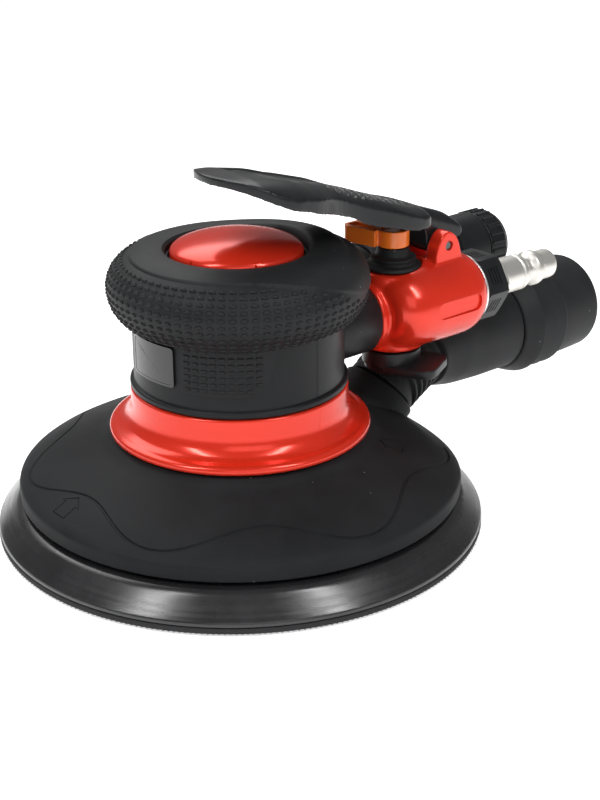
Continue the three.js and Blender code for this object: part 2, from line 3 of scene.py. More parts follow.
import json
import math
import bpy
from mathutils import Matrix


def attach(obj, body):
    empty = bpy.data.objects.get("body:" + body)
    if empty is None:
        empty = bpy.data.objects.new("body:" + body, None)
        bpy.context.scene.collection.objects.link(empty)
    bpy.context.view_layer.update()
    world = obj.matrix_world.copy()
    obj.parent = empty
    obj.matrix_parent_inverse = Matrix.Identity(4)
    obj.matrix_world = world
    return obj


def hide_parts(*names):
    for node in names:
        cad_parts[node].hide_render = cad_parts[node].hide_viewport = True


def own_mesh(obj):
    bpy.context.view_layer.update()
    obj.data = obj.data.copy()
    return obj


bl_info = {
    "name": "Palm Sander Workshop",
    "version": (1, 0, 0),
    "blender": (4, 5, 0),
    "location": "3D View > Sidebar > Sander",
    "description": "Builds an air-driven random orbital sander piece by piece",
    "category": "Add Mesh",
}

import bpy
from mathutils import Matrix, Vector

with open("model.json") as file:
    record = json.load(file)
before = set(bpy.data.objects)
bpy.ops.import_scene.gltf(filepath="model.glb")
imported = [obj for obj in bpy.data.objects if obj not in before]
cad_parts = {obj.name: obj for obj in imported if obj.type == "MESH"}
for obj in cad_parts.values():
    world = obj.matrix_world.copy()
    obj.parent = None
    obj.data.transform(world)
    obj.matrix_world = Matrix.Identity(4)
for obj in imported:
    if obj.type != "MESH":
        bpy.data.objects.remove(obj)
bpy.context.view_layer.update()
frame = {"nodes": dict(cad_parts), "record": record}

MM = 0.001
TURN = 2 * math.pi
PAD = (-1.768, -1.768)
VALVE = (54.0, -10.0)
INLET = (-15.0, 58.8)
EXHAUST = (14.0, 60.2)
DUST = (10.0, 30.2)
PORT = (53.5, 0.0, 20.5)
PORT_TILT = math.radians(40)
NECK = (-8.0, 56.5)
PIVOT = (68.3, 76.7)
ALONG_X = Matrix(((0, 0, 1), (1, 0, 0), (0, 1, 0))).to_4x4()
SIDE_ON = Matrix(((1, 0, 0), (0, 0, -1), (0, 1, 0))).to_4x4()


# ---- sizes and colours ----
class SanderSizes(bpy.types.PropertyGroup):
    """Sizes of the visible detail."""

    voxel: bpy.props.FloatProperty(
        name="Casting grain", description="Finest step of the cast and moulded blends",
        default=0.0004, unit="LENGTH")
    dot_columns: bpy.props.IntProperty(
        name="Dot columns", description="Raised dots round the grip", default=76, min=12)
    dot_pitch: bpy.props.FloatProperty(
        name="Dot row pitch", description="Distance between rows of dots",
        default=0.0021, unit="LENGTH")
    wave_radius: bpy.props.FloatProperty(
        name="Wave line radius", description="Radius of the line engraved in the skirt",
        default=0.00055, unit="LENGTH")
    hook_count: bpy.props.IntProperty(
        name="Rim hooks", description="Hooks in each ring at the pad's rim", default=300, min=30)


class SanderColours(bpy.types.PropertyGroup):
    """Colours of the finishes."""

    red: bpy.props.FloatVectorProperty(
        name="Enamel", description="Colour of the cast and turned enamelled parts",
        default=(0.46, 0.033, 0.007), subtype="COLOR", min=0, max=1)
    orange: bpy.props.FloatVectorProperty(
        name="Throttle lock", description="Colour of the lock", default=(1.0, 0.135, 0.006),
        subtype="COLOR", min=0, max=1)
    rubber: bpy.props.FloatVectorProperty(
        name="Rubber", description="Colour of grip and skirt", default=(0.0115, 0.012, 0.013),
        subtype="COLOR", min=0, max=1)
    plastic: bpy.props.FloatVectorProperty(
        name="Plastic", description="Colour of housing and lever", default=(0.009, 0.0095, 0.0105),
        subtype="COLOR", min=0, max=1)


# ---- hand tools ----
def begin():
    if bpy.context.object and bpy.context.object.mode != "OBJECT":
        bpy.ops.object.mode_set(mode="OBJECT")
    bpy.ops.object.select_all(action="DESELECT")


def pick(*objects):
    begin()
    for obj in objects:
        obj.select_set(True)
    bpy.context.view_layer.objects.active = objects[0]
    return objects[0]


def settle(obj, matrix=None):
    """Puts the piece in its place and clears its transform."""
    pick(obj)
    if matrix is not None:
        obj.matrix_world = matrix @ obj.matrix_world
    bpy.ops.object.transform_apply(location=True, rotation=True, scale=True)
    return obj


def at(x=0.0, y=0.0, z=0.0, turn=None):
    return Matrix.Translation((x * MM, y * MM, z * MM)) @ (turn or Matrix.Identity(4))


def along_x(y, z):
    return at(0, y, z, ALONG_X)


def rounded(corners, steps=4):
    """Corners (a, b) or (a, b, radius): those with a radius are rounded off."""
    points = []
    for i, corner in enumerate(corners):
        here = Vector(corner[:2])
        if len(corner) < 3 or i in (0, len(corners) - 1):
            points.append(here)
            continue
        before = Vector(corners[i - 1][:2]) - here
        after = Vector(corners[i + 1][:2]) - here
        reach = min(corner[2], before.length * 0.48, after.length * 0.48)
        start = here + before.normalized() * reach
        end = here + after.normalized() * reach
        for k in range(steps + 1):
            t = k / steps
            points.append(start * (1 - t) ** 2 + here * (2 * t * (1 - t)) + end * t * t)
    return points


def chain(points, flat=False):
    """Draws a line of edges from a single vertex, in the XZ plane or flat in XY."""
    begin()
    bpy.ops.mesh.primitive_plane_add(size=MM, location=(0, 0, 0))
    obj = bpy.context.object
    bpy.ops.object.mode_set(mode="EDIT")
    bpy.ops.mesh.merge(type="CENTER")
    last = Vector((0, 0))
    for i, point in enumerate(points):
        step = (Vector(point) - last) * MM
        move = (step.x, step.y, 0) if flat else (step.x, 0, step.y)
        if i:
            bpy.ops.mesh.extrude_vertices_move(TRANSFORM_OT_translate={"value": move})
        else:
            bpy.ops.transform.translate(value=move)
        last = Vector(point)
    return obj


def turned(name, corners, steps=96, place=None, round_steps=4):
    """Spins a profile of (radius, height) corners about Z."""
    obj = chain(rounded(corners, round_steps))
    obj.name = name
    bpy.ops.mesh.select_all(action="SELECT")
    bpy.ops.mesh.spin(steps=steps, angle=TURN, center=(0, 0, 0), axis=(0, 0, 1))
    bpy.ops.mesh.select_all(action="SELECT")
    bpy.ops.mesh.remove_doubles(threshold=2e-6)
    bpy.ops.mesh.normals_make_consistent(inside=False)
    return settle(obj, place)


def plate(name, corners, low, high, place=None, round_steps=4):
    """Fills an outline drawn in XY and extrudes it from low to high."""
    loop = rounded([corners[-1], *corners, corners[0]], round_steps)[1:-1]
    obj = chain(loop, flat=True)
    obj.name = name
    bpy.ops.mesh.select_all(action="SELECT")
    bpy.ops.mesh.edge_face_add()
    bpy.ops.transform.translate(value=(0, 0, low * MM))
    bpy.ops.mesh.extrude_region_move(TRANSFORM_OT_translate={"value": (0, 0, (high - low) * MM)})
    bpy.ops.mesh.select_all(action="SELECT")
    bpy.ops.mesh.remove_doubles(threshold=1e-6)
    bpy.ops.mesh.normals_make_consistent(inside=False)
    return settle(obj, place)


def rod(name, radius, low, high, place=None, sides=64):
    return turned(name, [(0, low), (radius, low), (radius, high), (0, high)], sides, place)


def worked(obj, kind, **settings):
    pick(obj)
    bpy.ops.object.modifier_add(type=kind)
    modifier = obj.modifiers[-1]
    for key, value in settings.items():
        setattr(modifier, key, value)
    bpy.ops.object.modifier_apply(modifier=modifier.name)
    return obj


def joined(name, *parts):
    pick(*parts)
    if len(parts) > 1:
        bpy.ops.object.join()
    obj = bpy.context.object
    obj.name = name
    return obj


def combine(obj, others, how):
    for other in others:
        worked(obj, "BOOLEAN", operation=how, solver="EXACT", object=other)
        bpy.data.objects.remove(other)
    return obj


def carved(obj, *cutters):
    return combine(obj, cutters, "DIFFERENCE")


def grown(obj, *others):
    return combine(obj, others, "UNION")


def cast(name, parts, voxel=None, softness=8):
    """Blends overlapping parts into one skin with fillets where they meet."""
    obj = joined(name, *parts)
    size = voxel or bpy.context.scene.sander_sizes.voxel
    worked(obj, "REMESH", mode="VOXEL", voxel_size=size)
    worked(obj, "SMOOTH", factor=0.5, iterations=softness)
    return obj


def shade(obj, degrees=35):
    pick(obj)
    bpy.ops.object.shade_smooth_by_angle(angle=math.radians(degrees))
    return obj


def reshape(obj, move):
    """Moves each vertex, given and returned in millimetres."""
    for vertex in obj.data.vertices:
        vertex.co = Vector(move(*(vertex.co / MM))) * MM
    obj.data.update()
    return obj


def outward(obj):
    """Makes all faces point outwards."""
    pick(obj)
    bpy.ops.object.mode_set(mode="EDIT")
    bpy.ops.mesh.select_all(action="SELECT")
    bpy.ops.mesh.normals_make_consistent(inside=False)
    begin()


def crosswise(x, y, z):
    """A place whose Z axis lies across the handle."""
    return at(x, y, z, Matrix.Rotation(math.pi / 2, 4, "X"))


def smooth_step(value, low, high):
    t = min(1.0, max(0.0, (value - low) / (high - low)))
    return t * t * (3 - 2 * t)


def spread(source, places, name):
    """Copies one small piece to many places and joins them."""
    copies = []
    for matrix in places:
        twin = source.copy()
        twin.data = source.data.copy()
        twin.matrix_world = matrix
        bpy.context.collection.objects.link(twin)
        copies.append(twin)
    bpy.data.objects.remove(source)
    obj = joined(name, *copies)
    return settle(obj)


def done(obj, node, material, *more):
    """Gives a finished piece its name, body, slot and finish."""
    begin()
    obj.name = "fine_" + node
    obj.data.name = obj.name
    obj.data.materials.clear()
    obj.data.materials.append(bpy.data.materials[material])
    body = next(b for b, nodes in frame["record"]["behaviour"]["bodies"].items() if node in nodes)
    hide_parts(node, *more)
    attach(obj, body)
    return obj


# ---- finishes ----
def new_group(name, inputs, outputs):
    group = bpy.data.node_groups.new(name, "ShaderNodeTree")
    for label, kind, value in inputs:
        socket = group.interface.new_socket(name=label, in_out="INPUT", socket_type=kind)
        if value is not None:
            socket.default_value = value
    for label, kind in outputs:
        group.interface.new_socket(name=label, in_out="OUTPUT", socket_type=kind)
    return group, group.nodes.new("NodeGroupInput"), group.nodes.new("NodeGroupOutput")


def sums(tree, operation, *values):
    node = tree.nodes.new("ShaderNodeMath")
    node.operation = operation
    for i, value in enumerate(values):
        if isinstance(value, (int, float)):
            node.inputs[i].default_value = value
        else:
            tree.links.new(value, node.inputs[i])
    return node.outputs[0]


def noise(tree, vector, scale, detail=3.0, rough=0.5):
    node = tree.nodes.new("ShaderNodeTexNoise")
    tree.links.new(vector, node.inputs["Vector"])
    if isinstance(scale, (int, float)):
        node.inputs["Scale"].default_value = scale
    else:
        tree.links.new(scale, node.inputs["Scale"])
    node.inputs["Detail"].default_value = detail
    node.inputs["Roughness"].default_value = rough
    return node.outputs["Fac"]


def spread_range(tree, value, low, high, to_low, to_high):
    node = tree.nodes.new("ShaderNodeMapRange")
    tree.links.new(value, node.inputs["Value"])
    for key, number in (("From Min", low), ("From Max", high), ("To Min", to_low), ("To Max", to_high)):
        if isinstance(number, (int, float)):
            node.inputs[key].default_value = number
        else:
            tree.links.new(number, node.inputs[key])
    return node.outputs["Result"]


def grain_group():
    """Fine moulded grain: height of the skin."""
    group, source, sink = new_group("Moulded grain", [
        ("Vector", "NodeSocketVector", None), ("Scale", "NodeSocketFloat", 1800.0)],
        [("Height", "NodeSocketFloat")])
    vector, scale = source.outputs["Vector"], source.outputs["Scale"]
    fine = noise(group, vector, scale, 3.0, 0.6)
    coarse = noise(group, vector, sums(group, "MULTIPLY", scale, 0.3), 2.0)
    total = sums(group, "ADD", sums(group, "MULTIPLY", fine, 0.7), sums(group, "MULTIPLY", coarse, 0.3))
    group.links.new(total, sink.inputs["Height"])
    return group


def gloss_group():
    """Uneven gloss: roughness that drifts over the surface."""
    group, source, sink = new_group("Uneven gloss", [
        ("Vector", "NodeSocketVector", None), ("Scale", "NodeSocketFloat", 60.0),
        ("Low", "NodeSocketFloat", 0.3), ("High", "NodeSocketFloat", 0.4)],
        [("Roughness", "NodeSocketFloat"), ("Tint", "NodeSocketFloat")])
    cloud = noise(group, source.outputs["Vector"], source.outputs["Scale"], 4.0, 0.6)
    value = spread_range(group, cloud, 0.3, 0.7, source.outputs["Low"], source.outputs["High"])
    group.links.new(value, sink.inputs["Roughness"])
    group.links.new(spread_range(group, cloud, 0.3, 0.7, 0.0, 1.0), sink.inputs["Tint"])
    return group


def dust_group():
    """Sparse pale specks that lie on dark rubber."""
    group, source, sink = new_group("Dust specks", [
        ("Vector", "NodeSocketVector", None), ("Scale", "NodeSocketFloat", 220.0),
        ("Amount", "NodeSocketFloat", 0.06)], [("Mask", "NodeSocketFloat")])
    cells = group.nodes.new("ShaderNodeTexVoronoi")
    group.links.new(source.outputs["Vector"], cells.inputs["Vector"])
    group.links.new(source.outputs["Scale"], cells.inputs["Scale"])
    near = sums(group, "LESS_THAN", cells.outputs["Distance"], source.outputs["Amount"])
    part = group.nodes.new("ShaderNodeSeparateColor")
    group.links.new(cells.outputs["Color"], part.inputs[0])
    rare = sums(group, "LESS_THAN", part.outputs[0], 0.35)
    group.links.new(sums(group, "MULTIPLY", near, rare), sink.inputs["Mask"])
    return group


def streak_group():
    """Turned streaks that run round the Z axis of the given vector."""
    group, source, sink = new_group("Turned streaks", [
        ("Vector", "NodeSocketVector", None), ("Scale", "NodeSocketFloat", 1500.0)],
        [("Height", "NodeSocketFloat"), ("Bands", "NodeSocketFloat")])
    split = group.nodes.new("ShaderNodeSeparateXYZ")
    group.links.new(source.outputs["Vector"], split.inputs[0])
    x, y, z = split.outputs
    radius = sums(group, "SQRT", sums(group, "ADD", sums(group, "MULTIPLY", x, x), sums(group, "MULTIPLY", y, y)))
    angle = sums(group, "MULTIPLY", sums(group, "ARCTAN2", y, x), 0.0006)
    mix = group.nodes.new("ShaderNodeCombineXYZ")
    for value, socket in zip((radius, angle, z), mix.inputs):
        group.links.new(value, socket)
    lines = noise(group, mix.outputs[0], source.outputs["Scale"], 4.0, 0.7)
    bands = noise(group, mix.outputs[0], sums(group, "MULTIPLY", source.outputs["Scale"], 0.25), 2.0)
    group.links.new(lines, sink.inputs["Height"])
    group.links.new(bands, sink.inputs["Bands"])
    return group


def placed(tree, group, vector, **values):
    """Sets a shared node group in a material, with its own values."""
    node = tree.nodes.new("ShaderNodeGroup")
    node.node_tree = bpy.data.node_groups[group]
    tree.links.new(vector, node.inputs["Vector"])
    for key, value in values.items():
        node.inputs[key].default_value = value
    return node.outputs


def finish(name, colour, low, high, second=None, metallic=0.0, grain=1800.0, depth=0.02, cloud=60.0,
           dust=0.0, streaks=None, coat=0.0, coat_rough=0.05, specular=0.5, axis=None, subsurface=0.0):
    """One material: drifting tint and gloss, a skin and, where asked for, dust or turned streaks."""
    material = bpy.data.materials.new(name)
    material.use_nodes = True
    tree = material.node_tree
    shader = tree.nodes["Principled BSDF"]
    where = tree.nodes.new("ShaderNodeTexCoord").outputs["Object"]
    gloss = placed(tree, "Uneven gloss", where, Scale=cloud, Low=low, High=high)
    tint = tree.nodes.new("ShaderNodeMix")
    tint.data_type = "RGBA"
    tint.inputs["A"].default_value = (*colour, 1)
    tint.inputs["B"].default_value = (*(second or [min(1, c * 1.35 + 0.002) for c in colour]), 1)
    tree.links.new(gloss["Tint"], tint.inputs["Factor"])
    colour_out, rough_out = tint.outputs["Result"], gloss["Roughness"]
    height = placed(tree, "Moulded grain", where, Scale=grain)["Height"]
    if streaks:
        place = tree.nodes.new("ShaderNodeMapping")
        place.vector_type = "POINT"
        if axis:
            place.inputs["Location"].default_value = axis[0]
            place.inputs["Rotation"].default_value = axis[1]
        tree.links.new(where, place.inputs["Vector"])
        lines = placed(tree, "Turned streaks", place.outputs[0], Scale=streaks)
        height = sums(tree, "ADD", sums(tree, "MULTIPLY", height, 0.15), lines["Height"])
        rough_out = sums(tree, "ADD", rough_out, spread_range(tree, lines["Bands"], 0.35, 0.65, -0.06, 0.06))
    if dust:
        specks = placed(tree, "Dust specks", where, Amount=dust)
        over = tree.nodes.new("ShaderNodeMix")
        over.data_type = "RGBA"
        tree.links.new(sums(tree, "MULTIPLY", specks["Mask"], 0.45), over.inputs["Factor"])
        tree.links.new(colour_out, over.inputs["A"])
        over.inputs["B"].default_value = (0.30, 0.30, 0.29, 1)
        colour_out = over.outputs["Result"]
    bump = tree.nodes.new("ShaderNodeBump")
    bump.inputs["Strength"].default_value = 0.6
    bump.inputs["Distance"].default_value = depth * MM
    tree.links.new(height, bump.inputs["Height"])
    tree.links.new(colour_out, shader.inputs["Base Color"])
    tree.links.new(rough_out, shader.inputs["Roughness"])
    tree.links.new(bump.outputs["Normal"], shader.inputs["Normal"])
    for key, value in (("Metallic", metallic), ("Specular IOR Level", specular), ("Coat Weight", coat),
                       ("Coat Roughness", coat_rough), ("Subsurface Weight", subsurface),
                       ("Subsurface Scale", 0.002)):
        shader.inputs[key].default_value = value


class SANDER_OT_finishes(bpy.types.Operator):
    """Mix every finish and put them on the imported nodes"""

    bl_idname = "sander.finishes"
    bl_label = "Finishes"

    def execute(self, context):
        tones = context.scene.sander_colours
        for make in (grain_group, gloss_group, dust_group, streak_group):
            make()
        quarter = (0, math.radians(90), 0)
        finish("soft_rubber", tones.rubber, 0.5, 0.62, grain=1500, depth=0.05, dust=0.05, specular=0.2)
        finish("skirt_rubber", tones.rubber, 0.52, 0.66, grain=1300, depth=0.07, dust=0.05, specular=0.11)
        finish("satin_plastic", tones.plastic, 0.34, 0.46, grain=2200, depth=0.025, dust=0.03, specular=0.17)
        finish("hard_plastic", tones.plastic, 0.26, 0.38, grain=1600, depth=0.03, specular=0.26)
        finish("gloss_plate", (0.008, 0.008, 0.009), 0.06, 0.12, grain=500, depth=0.004, coat=0.12)
        finish("pad_edge", (0.011, 0.011, 0.012), 0.2, 0.3, streaks=1400, depth=0.03, specular=0.6,
               axis=((0.00177, 0.00177, 0), (0, 0, 0)))
        finish("hook_nap", (0.012, 0.012, 0.013), 0.75, 0.9, grain=2600, depth=0.5, cloud=400)
        finish("red_enamel", tones.red, 0.16, 0.24, second=(tones.red[0] * 0.9, tones.red[1] * 0.8, tones.red[2]),
               grain=260, depth=0.012, cloud=35, coat=0.55, coat_rough=0.06)
        finish("orange_plastic", tones.orange, 0.22, 0.32, second=(0.96, 0.12, 0.006), grain=700, depth=0.015,
               coat=0.2, subsurface=0.12)
        finish("nickel", (0.60, 0.575, 0.53), 0.2, 0.3, metallic=1.0, streaks=1800, depth=0.012,
               axis=((0, 0.015, -0.0588), quarter))
        finish("bright_washer", (0.66, 0.66, 0.65), 0.28, 0.4, metallic=1.0, grain=900, depth=0.01)
        finish("ground_steel", (0.42, 0.42, 0.43), 0.25, 0.38, metallic=1.0, grain=900, depth=0.01)
        finish("dark_steel", (0.09, 0.09, 0.095), 0.3, 0.42, metallic=1.0, grain=900, depth=0.01)
        finish("vane_board", (0.17, 0.075, 0.03), 0.5, 0.6, grain=600, depth=0.03)
        finish("grey_felt", (0.32, 0.31, 0.29), 0.85, 0.95, grain=1100, depth=0.3)
        by_slot = {"black_rubber": "soft_rubber", "black_plastic": "satin_plastic", "pad_black": "gloss_plate",
                   "hook_black": "hook_nap", "red_enamel": "red_enamel", "orange_plastic": "orange_plastic",
                   "nickel": "nickel", "steel": "ground_steel", "dark_steel": "dark_steel",
                   "aluminium": "bright_washer", "phenolic": "vane_board", "felt": "grey_felt"}
        for part in frame["record"]["subparts"]:
            node = frame["nodes"][part["node"]]
            node.data.materials.clear()
            node.data.materials.append(bpy.data.materials[by_slot[part["material_slot"]]])
        return {"FINISHED"}


# ---- pad ----
def dust_holes(low, high):
    return [rod("hole", 5, low, high, at(PAD[0] + 40 * math.cos(a), PAD[1] + 40 * math.sin(a)), 40)
            for a in (TURN * i / 6 for i in range(6))]


class SANDER_OT_pad(bpy.types.Operator):
    """Turn the pad's foam edge and its hook face with a rim of hooks"""

    bl_idname = "sander.pad"
    bl_label = "Pad"

    def execute(self, context):
        centre = at(*PAD)
        foam = turned("foam", [(0, 2.4), (74.2, 2.4, 0.3), (74.4, 3.1, 0.4), (74.3, 3.8, 0.8), (71.4, 6.6, 6),
                               (68.4, 9.4, 1.6), (66.9, 10.2, 0.6), (0, 10.2)], 224, centre)
        carved(foam, *dust_holes(0, 12))
        done(shade(foam), "pad_foam", "pad_edge")
        face = turned("face", [(0, 0.45), (74.2, 0.45, 0.3), (74.4, 1.4, 0.3), (74.2, 2.2, 0.3), (0, 2.2)], 224,
                      centre)
        carved(face, *dust_holes(-1, 4))
        begin()
        bpy.ops.mesh.primitive_cone_add(vertices=4, radius1=0.3 * MM, radius2=0.12 * MM, depth=1.1 * MM)
        hook = bpy.context.object
        bpy.ops.object.mode_set(mode="EDIT")
        bpy.ops.mesh.extrude_region_move(TRANSFORM_OT_translate={"value": (0, 0, 0)})
        bpy.ops.mesh.delete(type="ONLY_FACE")
        begin()
        places = []
        count = context.scene.sander_sizes.hook_count
        for ring, (radius, low, lean) in enumerate(((74.05, 0.55, 115), (74.0, 1.15, 96), (73.5, 0.52, 150),
                                                    (71.9, 0.5, 176))):
            for i in range(count):
                angle = TURN * (i + 0.5 * (ring % 2)) / count
                wobble = math.sin(i * 12.9898 + ring * 78.233) * 43758.5453
                wobble -= math.floor(wobble)
                out = Matrix.Rotation(angle, 4, "Z") @ at(radius + 0.35 * (wobble - 0.5), 0, low + 0.25 * wobble)
                places.append(centre @ out @ Matrix.Rotation(math.radians(lean + 22 * (wobble - 0.5)), 4, "Y"))
        hooks = spread(hook, places, "hooks")
        reshape(hooks, lambda x, y, z: (x, y, max(z, 0.0)))

        def trim(x, y, z):
            r = math.hypot(x - PAD[0], y - PAD[1])
            k = min(1.0, 74.5 / r)
            return PAD[0] + (x - PAD[0]) * k, PAD[1] + (y - PAD[1]) * k, z
        reshape(hooks, trim)
        done(shade(joined("hook_face", face, hooks)), "pad_hook_face", "hook_nap")
        return {"FINISHED"}


# ---- skirt ----
def skirt_height(radius):
    """Height of the skirt's outer face at a radius."""
    line = ((38.4, 29.2), (42.6, 27.0), (50, 24.3), (60, 20.4), (66, 17.2), (67.6, 15.9))
    for (r0, z0), (r1, z1) in zip(line, line[1:]):
        if radius <= r1:
            return z0 + (z1 - z0) * (radius - r0) / (r1 - r0)
    return line[-1][1]


def skirt_trim(x, y, z):
    """The skirt is a little smaller at the dust outlet."""
    r = max(1e-6, math.hypot(x, y))
    away = min(1.0, abs(math.atan2(y, x) + math.radians(8)) / math.radians(44))
    k = 1 - 3.4 * math.cos(away * math.pi / 2) ** 2 * smooth_step(r, 54, 66) / r
    return x * k, y * k, z


def engraved(points, radius, closed=False):
    """A round-section tool that follows points in metres."""
    curve = bpy.data.curves.new("tool", "CURVE")
    curve.dimensions = "3D"
    curve.bevel_depth = radius
    curve.bevel_resolution = 2
    curve.use_fill_caps = True
    line = curve.splines.new("POLY")
    line.points.add(len(points) - 1)
    for target, point in zip(line.points, points):
        target.co = (*point, 1)
    line.use_cyclic_u = closed
    obj = bpy.data.objects.new("tool", curve)
    bpy.context.collection.objects.link(obj)
    pick(obj)
    bpy.ops.object.convert(target="MESH")
    return bpy.context.object


def on_skirt(radius, degrees, lift=0.12):
    a = math.radians(degrees)
    x, y, z = skirt_trim(radius * math.cos(a), radius * math.sin(a), skirt_height(radius) + lift)
    return x * MM, y * MM, z * MM


def parting_line(radius, low, high, width):
    """A straight tool that cuts the moulding line down a turned wall."""
    a = math.radians(-84)
    return engraved([(radius * math.cos(a) * MM, radius * math.sin(a) * MM, z * MM) for z in (low, high)], width * MM)


class SANDER_OT_skirt(bpy.types.Operator):
    """Turn the rubber skirt, raise its dust port and engrave its wavy line"""

    bl_idname = "sander.skirt"
    bl_label = "Skirt"

    def execute(self, context):
        wall = turned("skirt", [
            (29, 26.6), (29, 35.6), (30.9, 35.6), (30.9, 30.9), (38.4, 29.2, 0.6), (40.6, 28.2, 1), (42.6, 27, 2),
            (50, 24.3, 6), (60, 20.4, 6), (66, 17.2, 2), (67.7, 15.9, 0.8), (68, 15, 0.6), (68, 11.5, 0.3),
            (67.6, 11.3, 0.2), (66.6, 11.4, 0.3), (66.2, 14.2, 1), (58, 18.1), (46, 22.8), (40, 25.2), (34, 26.3),
            (29, 26.6)], 256)
        reshape(wall, skirt_trim)
        tilt = Matrix.Rotation(math.pi / 2 - PORT_TILT, 4, "Y")
        port = Matrix.Translation(Vector(PORT) * MM) @ tilt
        spigot = turned("spigot", [(9.8, -9), (12.7, -9), (12.7, 6.1, 0.4), (12.3, 6.5, 0.3), (9.8, 6.5),
                                   (9.8, -9)], 72, port)
        under = turned("under", [(0, 0), (66.4, 0), (66.4, 11), (66.0, 14.3), (58, 18.3), (46, 23.0), (40, 25.4),
                                 (34, 26.5), (0, 26.8)], 96)
        carved(spigot, under, rod("middle", 41.5, 0, 60))
        grown(wall, spigot)
        carved(wall, rod("port", 9.6, -30, 8, port))
        line = []
        for degrees in range(35, 326):
            radius = 60.4 + 4.5 * math.cos(TURN * (degrees - 209) / 56.5)
            line.append(on_skirt(radius, degrees, 0.08))
        carved(wall, engraved(line, context.scene.sander_sizes.wave_radius))
        arrow = [(62.6, -3.4), (58.4, -3.4), (58.4, -5.0), (55.6, -0.8), (58.4, 3.2), (58.4, 1.6), (62.6, 1.6)]
        for centre, shift in ((178, 2.1), (-50, -12.5)):
            carved(wall, engraved([on_skirt(r + shift, centre + a, 0.1) for r, a in arrow], 0.36 * MM, True))
        done(shade(wall, 40), "shroud", "skirt_rubber")
        return {"FINISHED"}


# ---- clamping ring, housing, cap ----
class SANDER_OT_ring(bpy.types.Operator):
    """Turn the clamping ring with its flared foot"""

    bl_idname = "sander.ring"
    bl_label = "Clamping ring"

    def execute(self, context):
        ring = turned("ring", [
            (31.3, 31.3), (31.3, 44.1), (32.4, 44.1, 0.1), (33.0, 43.7, 0.4), (33.0, 37.8, 1.5), (33.7, 35.4, 1.5),
            (35.3, 33.6, 1.5), (37.2, 32.7, 1.2), (38.4, 32.5, 0.8), (39.8, 31.7, 1.0), (39.8, 30.2, 0.7),
            (39.1, 29.75, 0.4),
            (38.5, 29.75), (31.3, 31.3)], 192, round_steps=6)
        carved(ring, parting_line(33.12, 37.4, 45, 0.17))
        done(shade(ring, 40), "lock_ring", "red_enamel")
        return {"FINISHED"}


class SANDER_OT_housing(bpy.types.Operator):
    """Turn the motor housing with its two necks and glue the blank plate on it"""

    bl_idname = "sander.housing"
    bl_label = "Housing and plate"

    def execute(self, context):
        shell = turned("housing", [
            (28.3, 36.2), (31, 36.2), (31, 44.45), (32.7, 44.45, 0.2), (33, 44.8, 0.3), (33, 46.1, 0.4),
            (32.3, 46.5, 0.3),
            (31.8, 46.6, 0.2), (31.8, 66), (31.2, 66.6), (31.2, 83.5), (20.4, 83.5), (20.4, 81.6), (0, 81.6),
            (0, 77.5),
            (28.3, 77.5), (28.3, 36.2)], 176)
        cavity = rod("cavity", 28.3, 30, 77.5, sides=176)
        neck = turned("neck", [(0, 20), (11.5, 20), (11.5, 40.9), (11.1, 41.5), (0, 41.5)], 96, along_x(*NECK))
        exhaust = turned("exhaust", [(0, 20), (10, 20), (10, 61.3), (9.6, 61.9), (0, 61.9)], 96, along_x(*EXHAUST))
        web = plate("web", [(20, -6), (38, -6, 1), (38, 11, 1), (20, 11)], 52, 63.5)
        grown(neck, exhaust, web)
        carved(neck, cavity)
        grown(shell, neck)
        carved(shell, rod("air", 5, 20, 45, along_x(*NECK)), rod("out", 7, 15, 65, along_x(*EXHAUST)))
        carved(shell, parting_line(31.9, 46.4, 67, 0.14))
        done(shade(shell), "motor_housing", "satin_plastic")

        label = plate("label", [(-6.0, -9.4, 1.2), (6.0, -9.4, 1.2), (6.0, 9.4, 1.2), (-6.0, 9.4, 1.2)], 0, 0.62)
        worked(label, "TRIANGULATE")
        rim = plate("rim", [(-5.3, -8.7, 0.9), (5.3, -8.7, 0.9), (5.3, 8.7, 0.9), (-5.3, 8.7, 0.9)], 0.54, 1)
        carved(label, rim)
        worked(label, "SUBSURF", subdivision_type="SIMPLE", levels=3, render_levels=3)
        # x runs down the plate and y round the housing
        reshape(label, lambda x, y, z: ((32.03 + z) * math.cos(math.pi + y / 32.0),
                                        (32.03 + z) * math.sin(math.pi + y / 32.0), 58.0 - x))
        outward(label)
        done(shade(label), "name_plate", "gloss_plate")
        return {"FINISHED"}


class SANDER_OT_cap(bpy.types.Operator):
    """Turn the domed cap with its three crimp marks"""

    bl_idname = "sander.cap"
    bl_label = "Domed cap"

    def execute(self, context):
        dome = [(19.8 * math.sin(t), 84.9 + 4.7 * math.cos(t)) for t in (math.pi / 2 * k / 14 for k in range(14,
                                                                                                             0, -1))]
        cap = turned("cap", [(0, 81.9), (19.6, 81.9), (19.8, 82.3), *dome, (0, 89.6)], 160)
        marks = [rod("mark", 0.42, 80, 90, at(19.75 * math.cos(a), 19.75 * math.sin(a)), 16)
                 for a in (math.radians(d) for d in (-112, 8, 128, 190))]
        carved(cap, *marks)
        done(shade(cap), "top_cap", "red_enamel")
        return {"FINISHED"}


# ---- palm grip ----
GRIP = [(31.5, 67), (32.1, 66.4), (32.1, 65.2), (33.4, 65), (35.2, 66.4), (37.6, 69.6), (38.7, 73.4), (38.8, 76),
        (37.8, 79.4), (35.6, 82.2), (32.4, 84.3), (28.6, 85.6), (24.4, 86), (22.0, 85.8), (21.2, 85),
        (21.1, 83.8), (31.5, 83.8), (31.5, 67)]


